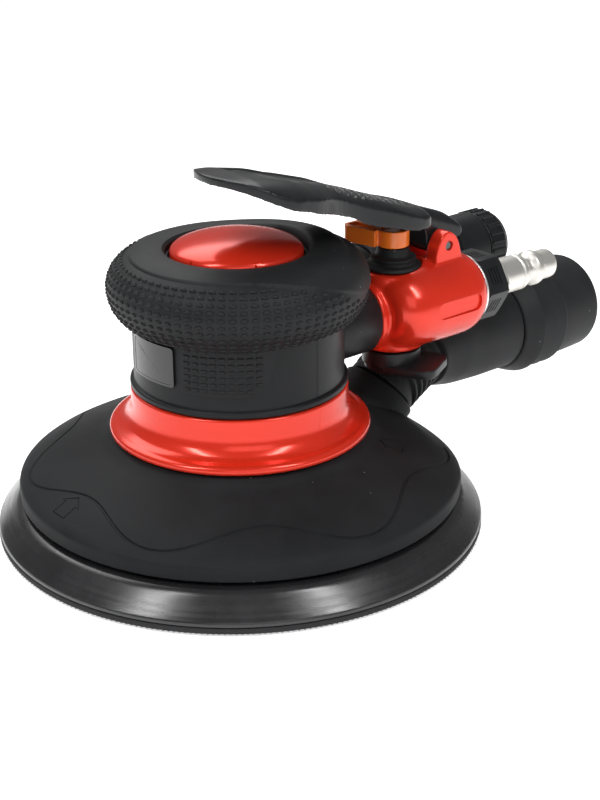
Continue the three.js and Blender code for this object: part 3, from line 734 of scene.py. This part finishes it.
def grip_swell(x, y, z):
    """The grip swells where the handle leaves it."""
    r = max(1e-6, math.hypot(x, y))
    a = abs(math.atan2(y, x))
    near = max(0.0, math.cos(1.4 * a)) ** 2 if a < math.radians(64) else 0.0
    lift = 1.2 * near * smooth_step(z, 83.9, 84.8) * smooth_step(r, 21.3, 23) * (1 - smooth_step(r, 33, 36.5))
    k = 1 + 1.9 * near * smooth_step(r, 33, 35) / r
    return x * k, y * k, z + lift


def band_edge(angle):
    """Radius less height where the smooth top band ends."""
    return -52.7 + 17.5 * smooth_step(-abs(math.degrees(angle)), -125, -45)


def grip_curve(samples):
    """Points along the grip's outer face from its foot to its crown, evenly spaced."""
    outer = [Vector(p) for p in GRIP[3:14]]
    fine = []
    for i in range(len(outer) - 1):
        p0, p1, p2, p3 = outer[max(0, i - 1)], outer[i], outer[i + 1], outer[min(len(outer) - 1, i + 2)]
        for k in range(12):
            t = k / 12
            fine.append(0.5 * (2 * p1 + (p2 - p0) * t + (2 * p0 - 5 * p1 + 4 * p2 - p3) * t * t
                               + (3 * p1 - p0 - 3 * p2 + p3) * t ** 3))
    fine.append(outer[-1])
    total = sum((b - a).length for a, b in zip(fine, fine[1:]))
    result, walked, target = [fine[0]], 0.0, total / samples
    for a, b in zip(fine, fine[1:]):
        step = (b - a).length
        while walked + step >= target and len(result) < samples:
            result.append(a + (b - a) * ((target - walked) / step))
            target += total / samples
        walked += step
    result.append(fine[-1])
    return result, total


class SANDER_OT_grip(bpy.types.Operator):
    """Shape the soft palm grip, its smooth band, raised dots and side panel"""

    bl_idname = "sander.grip"
    bl_label = "Palm grip"

    def execute(self, context):
        sizes = context.scene.sander_sizes
        curve, length = grip_curve(72)
        corners = [*GRIP[:3], *[tuple(p) for p in curve], *GRIP[14:]]
        grip = turned("grip", corners, 288)

        def step_down(x, y, z):
            r = math.hypot(x, y)
            if r > 25 and z > 65.1 and not (r < 31.6 and z < 83.9):
                below = smooth_step(r - z - band_edge(math.atan2(y, x)), -0.25, 0.45)
                lip = math.exp(-((r - z - band_edge(math.atan2(y, x)) + 0.7) / 0.5) ** 2)
                shrink = (0.5 * below - 0.08 * lip) * smooth_step(z, 65, 67)
                k = 1 - shrink * 0.7 / r
                x, y, z = x * k, y * k, z - shrink * 0.7 * smooth_step(z, 76, 84)
            return grip_swell(x, y, z)
        reshape(grip, step_down)
        carved(grip, rod("air", 11.9, 20, 60, along_x(*NECK)), rod("out", 10.4, 20, 60, along_x(*EXHAUST)))

        begin()
        bpy.ops.mesh.primitive_uv_sphere_add(segments=10, ring_count=6, radius=MM)
        dot = bpy.context.object
        dot.scale = (0.62, 1.12, 0.56)
        settle(dot)
        reshape(dot, lambda x, y, z: (x, y, z - 0.22 * y * y))
        rows = int(length * MM / sizes.dot_pitch)
        places = []
        for row in range(1, rows):
            u = row / rows * 72
            i = min(int(u), 71)
            point = curve[i] + (curve[i + 1] - curve[i]) * (u - i)
            way = (curve[i + 1] - curve[i]).normalized()
            for column in range(sizes.dot_columns):
                a = TURN * (column + 0.5) / sizes.dot_columns - math.pi
                margin = point.x - point.y - band_edge(a)
                if margin < 1.7 or (abs(math.degrees(a)) < 37 and point.y < 73):
                    continue
                r, z = point.x - 0.36, point.y - 0.3 * smooth_step(point.y, 76, 84)
                x, y, z = grip_swell(r * math.cos(a), r * math.sin(a), z)
                lean = math.atan2(-way.x, way.y)
                places.append(Matrix.Translation((x * MM, y * MM, z * MM)) @ Matrix.Rotation(a, 4, "Z")
                              @ Matrix.Rotation(-lean, 4, "Y"))
        dots = spread(dot, places, "dots")

        panel = plate("panel", [(-16.4, 50.9, 0.8), (8.6, 50.9, 9), (12.6, 66.2), (-16.4, 66.2)], 0, 0.5)
        worked(panel, "TRIANGULATE")
        worked(panel, "SUBSURF", subdivision_type="SIMPLE", levels=3, render_levels=3)
        begin()
        bpy.ops.mesh.primitive_cube_add(size=2 * MM)
        brick = bpy.context.object
        brick.scale = (0.95, 0.5, 0.34)
        settle(brick)
        worked(brick, "BEVEL", width=0.24 * MM, segments=2)
        bricks = []
        for row in range(7):
            for column in range(10):
                u, v = -14.4 + 2.62 * column, 52.6 + 1.95 * row
                if u > 7.5 + 0.28 * (v - 54) and v < 58 or u > 8.4 or (u > 4 and v < 54):
                    continue
                bricks.append(at(u, v, 0.55))
        bricks = spread(brick, bricks, "bricks")

        def wrap(x, y, z):
            a = math.radians(-107) + (x - 12.6) / 31.8
            return (31.75 + z) * math.cos(a), (31.75 + z) * math.sin(a), y
        for patch in (panel, bricks):
            reshape(patch, wrap)
            outward(patch)
        shade(panel)
        shade(bricks, 60)
        shade(dots, 80)
        shade(grip)
        done(joined("palm", grip, dots, panel, bricks), "rubber_grip", "soft_rubber")
        return {"FINISHED"}


# ---- dust line ----
def bezier(p0, p1, p2, p3, t):
    return p0 * (1 - t) ** 3 + p1 * 3 * t * (1 - t) ** 2 + p2 * 3 * t * t * (1 - t) + p3 * t ** 3


def bent(obj, path, length):
    """Carries a piece turned about Z along a path of points."""
    marks = [0.0]
    for a, b in zip(path, path[1:]):
        marks.append(marks[-1] + (b - a).length)
    scale = marks[-1] / length

    def follow(x, y, z):
        s = min(max(z * scale, 0.0), marks[-1] - 1e-6)
        i = next(k for k in range(len(marks) - 1) if marks[k + 1] > s)
        t = (s - marks[i]) / (marks[i + 1] - marks[i])
        ahead = (path[i + 1] - path[i]).normalized()
        if i + 2 < len(path):
            ahead = ahead.lerp((path[i + 2] - path[i + 1]).normalized(), t).normalized()
        side = Vector((0, 1, 0)).cross(ahead).normalized()
        across = ahead.cross(side)
        return path[i].lerp(path[i + 1], t) + side * x + across * y
    return reshape(obj, follow)


class SANDER_OT_dust_line(bpy.types.Operator):
    """Turn and bend the bellows, the dust tube and the stepped cuff"""

    bl_idname = "sander.dust_line"
    bl_label = "Dust line"

    def execute(self, context):
        port, ahead = Vector(PORT), Vector((math.cos(PORT_TILT), 0, math.sin(PORT_TILT)))
        start = port + ahead * 6.8
        path = [bezier(start, start + ahead * 3, Vector((72.6, 3.8, 29)), Vector((79.6, 6, 30.4)),
                       k / 40) for k in range(41)]
        length = sum((b - a).length for a, b in zip(path, path[1:]))
        ridges, profile = 6, [(9.4, 0), (11.7, 0, 0.3), (11.7, 1.2, 0.3)]
        pitch = (length - 2.8) / ridges
        for i in range(ridges):
            z = 1.4 + pitch * i
            profile += [(10.3, z + 0.1 * pitch, 0.4), (10.4, z + 0.4 * pitch, 0.3), (11.9, z + 0.6 * pitch, 0.35),
                        (11.9, z + 0.85 * pitch, 0.35)]
        profile += [(11.3, length - 1), (11.3, length), (9.4, length), (9.4, 0)]
        bellows = bent(turned("bellows", profile, 72), path, length)
        done(shade(bellows, 50), "bellows", "soft_rubber")

        mouth, straight = Vector((80.2, 6.2, 30.5)), Vector((105, *DUST))
        path = [bezier(mouth, Vector((86.6, 8.2, 31.6)), Vector((95, *DUST)), straight, k / 40) for k in range(41)]
        path += [Vector((105 + k * 1.74, *DUST)) for k in range(1, 11)]
        length = sum((b - a).length for a, b in zip(path, path[1:]))
        tube = turned("tube", [
            (10, 0), (11.6, 0, 0.3), (13.0, 0.3, 0.5), (13.5, 3, 1.5), (14.7, 9, 3), (15.6, 14, 3), (15.9, 20, 3),
            (16.2, 28, 2), (16.2, length - 0.4, 0.3), (15.9, length), (13.4, length), (13.4, 28), (12.6, 14),
            (10.4, 5),
            (10, 0)], 112)
        bent(tube, path, length)
        done(shade(tube), "dust_tube", "soft_rubber")

        cuff = turned("cuff", [
            (13.4, 122.7), (16.5, 122.7, 0.3), (17.0, 123.2, 0.5), (18.9, 127.9, 1.5), (19.4, 129.4, 0.5),
            (19.5, 129.9, 0.2),
            (18.5, 130.2, 0.2), (18.4, 130.7, 0.3), (19.1, 136.4, 1), (19.2, 136.8, 0.2), (18.7, 137.0, 0.2),
            (18.6, 137.5, 0.3), (19.2, 141.5, 1), (18.9, 142.0, 0.4), (17.9, 142.3, 0.3), (17.9, 143.0, 0.5),
            (17.3, 160.2, 0.6), (16.6, 161.5, 0.5), (14.1, 161.5, 0.3), (13.9, 160.9), (13.4, 122.7)], 144,
            along_x(*DUST))
        done(shade(cuff), "hose_cuff", "soft_rubber")
        return {"FINISHED"}


# ---- throttle valve ----
class SANDER_OT_valve_body(bpy.types.Operator):
    """Cast the valve body from its boss, barrel, flange and ears, then bore it"""

    bl_idname = "sander.valve_body"
    bl_label = "Valve body"

    def execute(self, context):
        vx, vy = VALVE
        boss = turned("boss", [(0, 45.3), (10.3, 45.3, 0.4), (10.4, 48, 1), (10.4, 69.6, 0.5), (10.0, 70.3),
                               (0, 70.3)], 80, at(vx, vy))
        barrel = turned("barrel", [(0, 44.5), (8, 45, 2), (11.4, 47.6, 2), (12.9, 52, 3), (13.4, 58),
                                   (13.7, 68, 4), (13.7, 75, 4),
                                   (13, 78, 2), (11.8, 80, 0.6), (0, 80)], 96, along_x(*INLET))
        flange = turned("flange", [(0, 41.9), (10.9, 41.9, 0.4), (11.2, 42.4, 0.4), (11.2, 52), (0, 52)], 80,
                        along_x(*NECK))
        ears = [plate("ear", [(61.5, 60), (76.4, 60), (74.6, 71, 1), (72.2, 79.2, 3.6), (67.4, 82.2, 4.6),
                              (63.3, 77.6, 3)],
                      low, low + 5.0, at(turn=SIDE_ON), 6) for low in (-(vy + 10.4), -(vy - 5.4))]
        body = cast("valve", [boss, barrel, flange, *ears], softness=10)
        carved(body, rod("boot seat", 9.4, 70.3, 90, at(vx, vy)), rod("valve bore", 6.5, 40, 64, at(vx, vy)),
               rod("stem bore", 2.2, 60, 80, at(vx, vy)), rod("disc seat", 9.8, 30, 45.2, at(vx, vy)),
               rod("air way", 5, 54, 81, along_x(*INLET)), rod("thread", 8.6, 66, 82, along_x(*INLET)),
               rod("port", 4.6, 40, 54, along_x(*NECK)))
        carved(body, rod("pin", 1.6, -40, 40, crosswise(PIVOT[0], 0, PIVOT[1]), 32))
        slot = plate("recess", [(56.9, 56.4, 2.6), (75.6, 56.4, 2.6), (75.6, 61.8, 2.6), (56.9, 61.8, 2.6)], 0, 6,
                     at(0, -27.75, 0, SIDE_ON), 6)
        carved(body, slot)
        done(shade(body, 30), "valve_body", "red_enamel")
        return {"FINISHED"}


class SANDER_OT_throttle(bpy.types.Operator):
    """Make the boot, the orange lock, the regulator and the lever pin"""

    bl_idname = "sander.throttle"
    bl_label = "Boot, lock, regulator, pin"

    def execute(self, context):
        valve = at(*VALVE)
        boot = turned("boot", [
            (2.2, 70.7), (8.8, 70.7, 0.3), (9.0, 71.3, 0.3), (8.7, 71.9, 0.3), (7.2, 72.3, 0.4), (6.9, 72.7, 0.3),
            (6.3, 73.2, 0.3), (6.4, 73.5, 0.2), (7.2, 73.8, 0.25), (7.2, 74.2, 0.25), (5.8, 74.6, 0.3),
            (5.4, 75.1, 0.3),
            (5.0, 76.9, 0.3), (4.8, 77.3), (2.2, 77.3), (2.2, 70.7)], 80, valve)
        done(shade(boot, 50), "rubber_boot", "soft_rubber")
        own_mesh(boot)

        tab = plate("tab", [(47.6, -8.25), (49.8, -8.1, 1.5), (51.8, -9.4, 1), (56, -8), (54.5, 3.5, 1),
                            (52.6, 4.6, 1),
                            (46.6, 4.6, 1.2), (45.4, 3, 1.2)], 77.6, 82.9)
        hub = turned("hub", [(0, 77.6), (4.9, 77.6, 0.3), (5.0, 78.0, 0.3), (5.0, 82.9), (0, 82.9)], 64, valve)
        lock = cast("lock", [tab, hub], voxel=0.2 * MM, softness=2)
        inner = plate("inner", [(48.2, -6.8, 0.5), (50.6, -6.6, 1), (50.6, 3.4, 0.8), (47.2, 3.4, 0.8),
                                (46.6, 2.4, 0.8)], 81.9, 84)
        carved(lock, rod("stem", 2.2, 75, 80.5, valve), rod("top", 3.9, 82.2, 84, valve), inner)
        done(shade(lock, 30), "throttle_lock", "orange_plastic")

        disc = turned("disc", [(0, 39.5), (9.4, 39.5, 0.4), (9.4, 44.5, 0.4), (6.1, 44.5), (6.1, 46.6),
                               (4.9, 46.6), (4.9, 48.6),
                               (6.1, 48.6), (6.1, 50.6), (0, 50.6)], 80, valve)
        turn = Matrix.Rotation(math.radians(-63), 4, "Z")
        finger = plate("finger", [(0, -9.3), (17, -9.3, 5), (17, 9.3, 5), (0, 9.3), (-6.6, 6.6, 4),
                                  (-9.3, 0, 4), (-6.6, -6.6, 4)],
                       37.5, 40.4, at(*VALVE, turn=turn), 6)
        worked(finger, "BEVEL", width=0.5 * MM, segments=3, limit_method="ANGLE")
        carved(finger, rod("socket", 9.0, 40.39, 41, valve))
        done(shade(joined("regulator", disc, finger)), "regulator", "hard_plastic")

        pin = turned("pin", [(0, -9.8), (1.2, -9.8, 0.2), (1.5, -9.4, 0.2), (1.5, 9.4, 0.2), (1.2, 9.8, 0.2),
                             (0, 9.8)], 32, crosswise(PIVOT[0], -10, PIVOT[1]))
        done(shade(pin), "lever_pin", "dark_steel")
        return {"FINISHED"}


def lever_top(x, across):
    """Recess and chevron ribs on the lever's top, in millimetres of depth."""
    y = abs(across)
    dish = 0.0
    if -8 < x < 24:
        t = (x + 6) / 29
        half = 8.2 * math.sqrt(max(0.0, 1 - t * t)) if t > 0 else 8.2 * math.sqrt(max(0.0, 1 - (t * 4) ** 2))
        dish = 0.75 * smooth_step(half - y, -0.2, 0.9)
    ribs = 0.0
    if 19 < x < 58:
        inside = smooth_step(x + 0.75 * y, 24, 26) * smooth_step(-x, -57, -55) * smooth_step(-y, -10.6, -9.6)
        wave = 0.5 - 0.5 * math.cos(TURN * (x + 0.75 * y) / 3.1)
        ribs = 0.55 * inside * smooth_step(wave, 0.25, 0.75)
    return max(dish, ribs)


class SANDER_OT_lever(bpy.types.Operator):
    """Cast the throttle lever, crown it and press its recess and chevron ribs"""

    bl_idname = "sander.lever"
    bl_label = "Throttle lever"

    def execute(self, context):
        side = [(-18, 107.4), (-9.4, 106.9), (1.6, 104.9), (11.6, 103.5), (21, 100.9), (27.5, 98.2), (36.5, 95.2),
                (44.5, 92.2), (51.6, 89.8), (57, 88.3), (65.4, 84.9, 3), (79.4, 79.9, 1), (80.4, 78.2, 1),
                (79.6, 76.4, 1),
                (73, 75, 2), (68.3, 72.5, 3), (64.4, 74.6, 2), (63.8, 80, 2), (61.5, 84.6, 2), (57, 85.2, 1),
                (46, 86.4, 1),
                (38, 88.7, 1), (30.5, 91.4, 1), (25, 94.2, 1), (13, 98.2, 1), (2.4, 101), (-5, 102.9), (-18, 105.1)]
        slab = plate("slab", [(x, z, *r) for x, z, *r in side], -19, 19, at(0, -10, 0, SIDE_ON))
        tip = [(0.7 - 18.5 * math.sin(t), 18.5 * math.cos(t)) for t in (math.pi * k / 24 for k in range(25))]
        plan = plate("plan", [*tip, (10, -17.6, 5), (19, -13.1, 6), (29, -12.0, 6), (40, -14.7, 6),
                              (48, -15.9, 5), (56.5, -15.2, 5),
                              (59.3, -8, 4), (59.4, -4.7, 1), (82, -4.5), (82, 4.5), (59.4, 4.7, 1), (59.3, 8, 4),
                              (56.5, 15.2, 5), (48, 15.9, 5), (40, 14.7, 6), (29, 12.0, 6), (19, 13.1, 6),
                              (10, 17.6, 5)], 60, 120, at(0, -10))
        combine(slab, [plan], "INTERSECT")
        nose = rod("nose", 2.5, 83.3, 88, at(*VALVE))
        lever = cast("lever", [slab, nose], voxel=0.42 * MM, softness=5)

        def crown(x, y, z):
            half = 18.6 - 6.2 * smooth_step(x, 2, 25) + 3.6 * smooth_step(x, 29, 46) - 11.4 * smooth_step(x, 55, 61)
            across = min(1.0, abs(y + 10) / half)
            base = 87.1 - 0.375 * (x - 57)
            on_top = 1.0 if x < 57 else smooth_step(z, base - 2.5, base + 0.6)
            rise = 3.0 + 1.5 * (1 - smooth_step(x, 0, 12))
            if x < 57:
                rise *= smooth_step(z, 83.6, 85.6)
            return x, y, z + rise * on_top * (1 - smooth_step(x, 72, 84)) * (1 - across ** 4)
        reshape(lever, crown)
        ups = [v.normal.z for v in lever.data.vertices]
        for vertex, up in zip(lever.data.vertices, ups):
            if up > 0.5:
                vertex.co.z -= lever_top(vertex.co.x / MM, vertex.co.y / MM + 10) * MM
        carved(lever, rod("pin", 1.6, -40, 40, crosswise(PIVOT[0], 0, PIVOT[1]), 32))
        done(shade(lever, 40), "throttle_lever", "hard_plastic")
        return {"FINISHED"}


# ---- air inlet ----
class SANDER_OT_inlet(bpy.types.Operator):
    """Make the washer, the black hex bushing and the quick-connect nipple"""

    bl_idname = "sander.inlet"
    bl_label = "Air inlet"

    def execute(self, context):
        place = along_x(*INLET)
        washer = turned("washer", [(8.9, 80.35), (11.3, 80.35, 0.15), (11.4, 80.7, 0.15), (11.3, 81.15, 0.15),
                                   (8.9, 81.15),
                                   (8.9, 80.35)], 96, place)
        done(shade(washer), "inlet_washer", "bright_washer")

        def hexagon(name, radius, low, high, chamfer):
            body = turned(name, [(0, low), (radius, low), (radius, high), (0, high)], 6, place)
            cone = turned("cone", [(0, low), (radius - chamfer, low), (radius * 1.02, low + chamfer * 0.6),
                                   (radius * 1.02, high - chamfer * 0.6), (radius - chamfer, high), (0, high)],
                                   72, place)
            return combine(body, [cone], "INTERSECT")
        bush = hexagon("bush", 11.6, 81.5, 90.8, 1.1)
        slots = []
        for face in range(6):
            turn = Matrix.Rotation(math.radians(30 + 60 * face), 4, "Z")
            for k in range(4):
                z = 84.1 + 1.25 * k
                slots.append(plate("slot", [(9.75, -2.9, 0.3), (10.8, -2.9), (10.8, 2.9), (9.75, 2.9, 0.3)], z,
                                   z + 0.5, place @ turn))
        carved(bush, joined("slots", *slots))
        worked(bush, "BEVEL", width=0.12 * MM, segments=1, limit_method="ANGLE")
        carved(bush, rod("bore", 6.9, 80, 92, place))
        shank = turned("shank", [(5.2, 68), (8.0, 68), (8.3, 68.4), (8.3, 82), (5.2, 82), (5.2, 68)], 72, place)
        done(shade(joined("bushing", bush, shank), 30), "inlet_bushing", "hard_plastic")

        head = hexagon("head", 7.7, 91.1, 95.1, 0.8)
        carved(head, rod("through", 6.0, 90, 96, place))
        stem = turned("stem", [
            (3.4, 80.1), (6.5, 80.1, 0.2), (6.5, 95.2), (6.3, 95.8, 0.4), (6.0, 96.4, 0.3), (6.0, 104.0, 0.2),
            (5.6, 104.3, 0.2),
            (5.6, 104.6, 0.2), (6.0, 104.9, 0.2), (6.0, 106.4, 0.3), (5.2, 107.6, 0.3), (4.4, 108.3, 0.4),
            (4.4, 110.1, 0.5),
            (5.5, 111.3, 0.3), (5.9, 111.9, 0.4), (5.9, 113.9, 0.4), (5.3, 115.0, 0.4), (5.0, 115.6, 0.3),
            (5.0, 120.8, 0.5), (4.5, 121.5, 0.3), (3.7, 121.5, 0.2), (3.4, 121.1), (3.4, 80.1)], 112, place, 5)
        done(shade(joined("nipple", head, stem), 32), "inlet_nipple", "nickel")
        return {"FINISHED"}


# ---- exhaust ----
class SANDER_OT_exhaust(bpy.types.Operator):
    """Turn the muffler body with its two ring grooves and the ribbed cap"""

    bl_idname = "sander.exhaust"
    bl_label = "Exhaust"

    def execute(self, context):
        place = along_x(*EXHAUST)
        grooves = [(r, x + step) for x in (72.5, 99) for r, step in ((11.4, 0), (11.1, 0), (11.1, 0.5), (11.4, 0.5))]
        body = turned("muffler", [(7.6, 62.3), (10.2, 62.3, 0.3), (10.7, 62.8, 0.4), (11.4, 65, 1), *grooves,
                                  (11.4, 112.8, 0.2), (11.2, 113.1), (9.4, 113.1), (9.4, 65), (7.6, 65),
                                  (7.6, 62.3)], 120, place)
        done(shade(body), "muffler_body", "satin_plastic")
        cap = turned("cap", [(8.8, 113.4), (11.2, 113.4, 0.2), (11.35, 113.7, 0.2), (11.35, 120.6, 0.5),
                             (10.9, 121.2, 0.6),
                             (10.0, 123.1, 0.8), (0, 123.1), (0, 121.1), (8.8, 121.1), (8.8, 113.4)], 120, place)
        rib = plate("rib", [(11.0, -0.75), (11.6, -0.6, 0.2), (11.85, 0, 0.5), (11.6, 0.6, 0.2), (11.0, 0.75)],
                    114.2, 120.2)
        ribs = spread(rib, [place @ Matrix.Rotation(TURN * k / 24, 4, "Z") for k in range(24)], "ribs")
        vents = [rod("vent", 1.6, 118, 130, place @ at(5.4 * math.cos(a), 5.4 * math.sin(a)), 24)
                 for a in (TURN * k / 5 for k in range(5))]
        carved(cap, *vents)
        done(shade(joined("muffler_cap", cap, ribs)), "muffler_cap", "satin_plastic")
        return {"FINISHED"}


# ---- stage ----
class SANDER_OT_stage(bpy.types.Operator):
    """Lay the pale floor, hang the soft lights and set the camera"""

    bl_idname = "sander.stage"
    bl_label = "Stage"

    def execute(self, context):
        scene = context.scene
        begin()
        bpy.ops.mesh.primitive_circle_add(vertices=128, radius=1.6, fill_type="NGON", location=(0, 0, -0.0003))
        floor = bpy.context.object
        floor.name = "floor"
        paper = bpy.data.materials.new("paper")
        paper.use_nodes = True
        shader = paper.node_tree.nodes["Principled BSDF"]
        for key, value in (("Base Color", (0.93, 0.93, 0.93, 1)), ("Roughness", 0.85), ("Specular IOR Level", 0.1),
                           ("Emission Color", (1, 1, 1, 1)), ("Emission Strength", 0.6)):
            shader.inputs[key].default_value = value
        floor.data.materials.append(paper)
        world = bpy.data.worlds.new("studio")
        world.use_nodes = True
        sky = world.node_tree
        sky.nodes["Background"].inputs["Color"].default_value = (1, 1, 1, 1)
        path = sky.nodes.new("ShaderNodeLightPath")
        level = spread_range(sky, path.outputs["Is Camera Ray"], 0.0, 1.0, 0.2, 1.0)
        sky.links.new(level, sky.nodes["Background"].inputs["Strength"])
        scene.world = world
        target = Vector((0.02, 0, 0.05))
        for name, place, size, power in (
                ("left strip", (-0.56, 0.02, 0.72), (0.075, 0.5), 3.4),
                ("front strip", (0.12, -0.56, 0.74), (0.075, 0.5), 3.4),
                ("front wash", (-0.5, -0.9, 0.55), (0.9, 0.6), 2.1), ("top box", (0.2, 0.55, 0.75), (1.0, 0.6), 6.5)):
            bpy.ops.object.light_add(type="AREA", location=place)
            light = bpy.context.object
            light.name = name
            light.data.shape = "RECTANGLE"
            light.data.size, light.data.size_y = size
            light.data.energy = power
            light.rotation_mode = "QUATERNION"
            light.rotation_quaternion = (target - Vector(place)).to_track_quat("-Z", "Y")
        bpy.ops.object.camera_add()
        camera = bpy.context.object
        right = Vector((0.7601, -0.6497, -0.0061))
        up = Vector((0.2537, 0.2882, 0.9233))
        back = right.cross(up).normalized()
        up = back.cross(right.normalized())
        turn = Matrix((right.normalized(), up, back)).transposed()
        camera.matrix_world = Matrix.Translation((-0.2721, -0.3482, 0.2204)) @ turn.to_4x4()
        camera.data.lens = 70.51
        camera.data.sensor_width = 36
        scene.camera = camera
        scene.view_settings.view_transform = "Standard"
        begin()
        return {"FINISHED"}


class SANDER_PT_panel(bpy.types.Panel):
    """Lists the pieces of the sander"""

    bl_idname = "SANDER_PT_panel"
    bl_label = "Palm sander"
    bl_space_type = "VIEW_3D"
    bl_region_type = "UI"
    bl_category = "Sander"

    def draw(self, context):
        for group in (context.scene.sander_sizes, context.scene.sander_colours):
            for key in group.__annotations__:
                self.layout.prop(group, key)
        for step in STEPS:
            self.layout.operator(step.bl_idname)


STEPS = (SANDER_OT_finishes, SANDER_OT_pad, SANDER_OT_skirt, SANDER_OT_ring, SANDER_OT_housing, SANDER_OT_cap,
         SANDER_OT_grip, SANDER_OT_dust_line, SANDER_OT_valve_body, SANDER_OT_throttle, SANDER_OT_lever,
         SANDER_OT_inlet, SANDER_OT_exhaust, SANDER_OT_stage)
CLASSES = (SanderSizes, SanderColours, *STEPS, SANDER_PT_panel)


def register():
    for item in CLASSES:
        bpy.utils.register_class(item)
    bpy.types.Scene.sander_sizes = bpy.props.PointerProperty(type=SanderSizes)
    bpy.types.Scene.sander_colours = bpy.props.PointerProperty(type=SanderColours)


def unregister():
    del bpy.types.Scene.sander_colours
    del bpy.types.Scene.sander_sizes
    for item in reversed(CLASSES):
        bpy.utils.unregister_class(item)


def main():
    register()
    for step in STEPS:
        group, name = step.bl_idname.split(".")
        getattr(getattr(bpy.ops, group), name)()


if __name__ == "__main__":
    main()
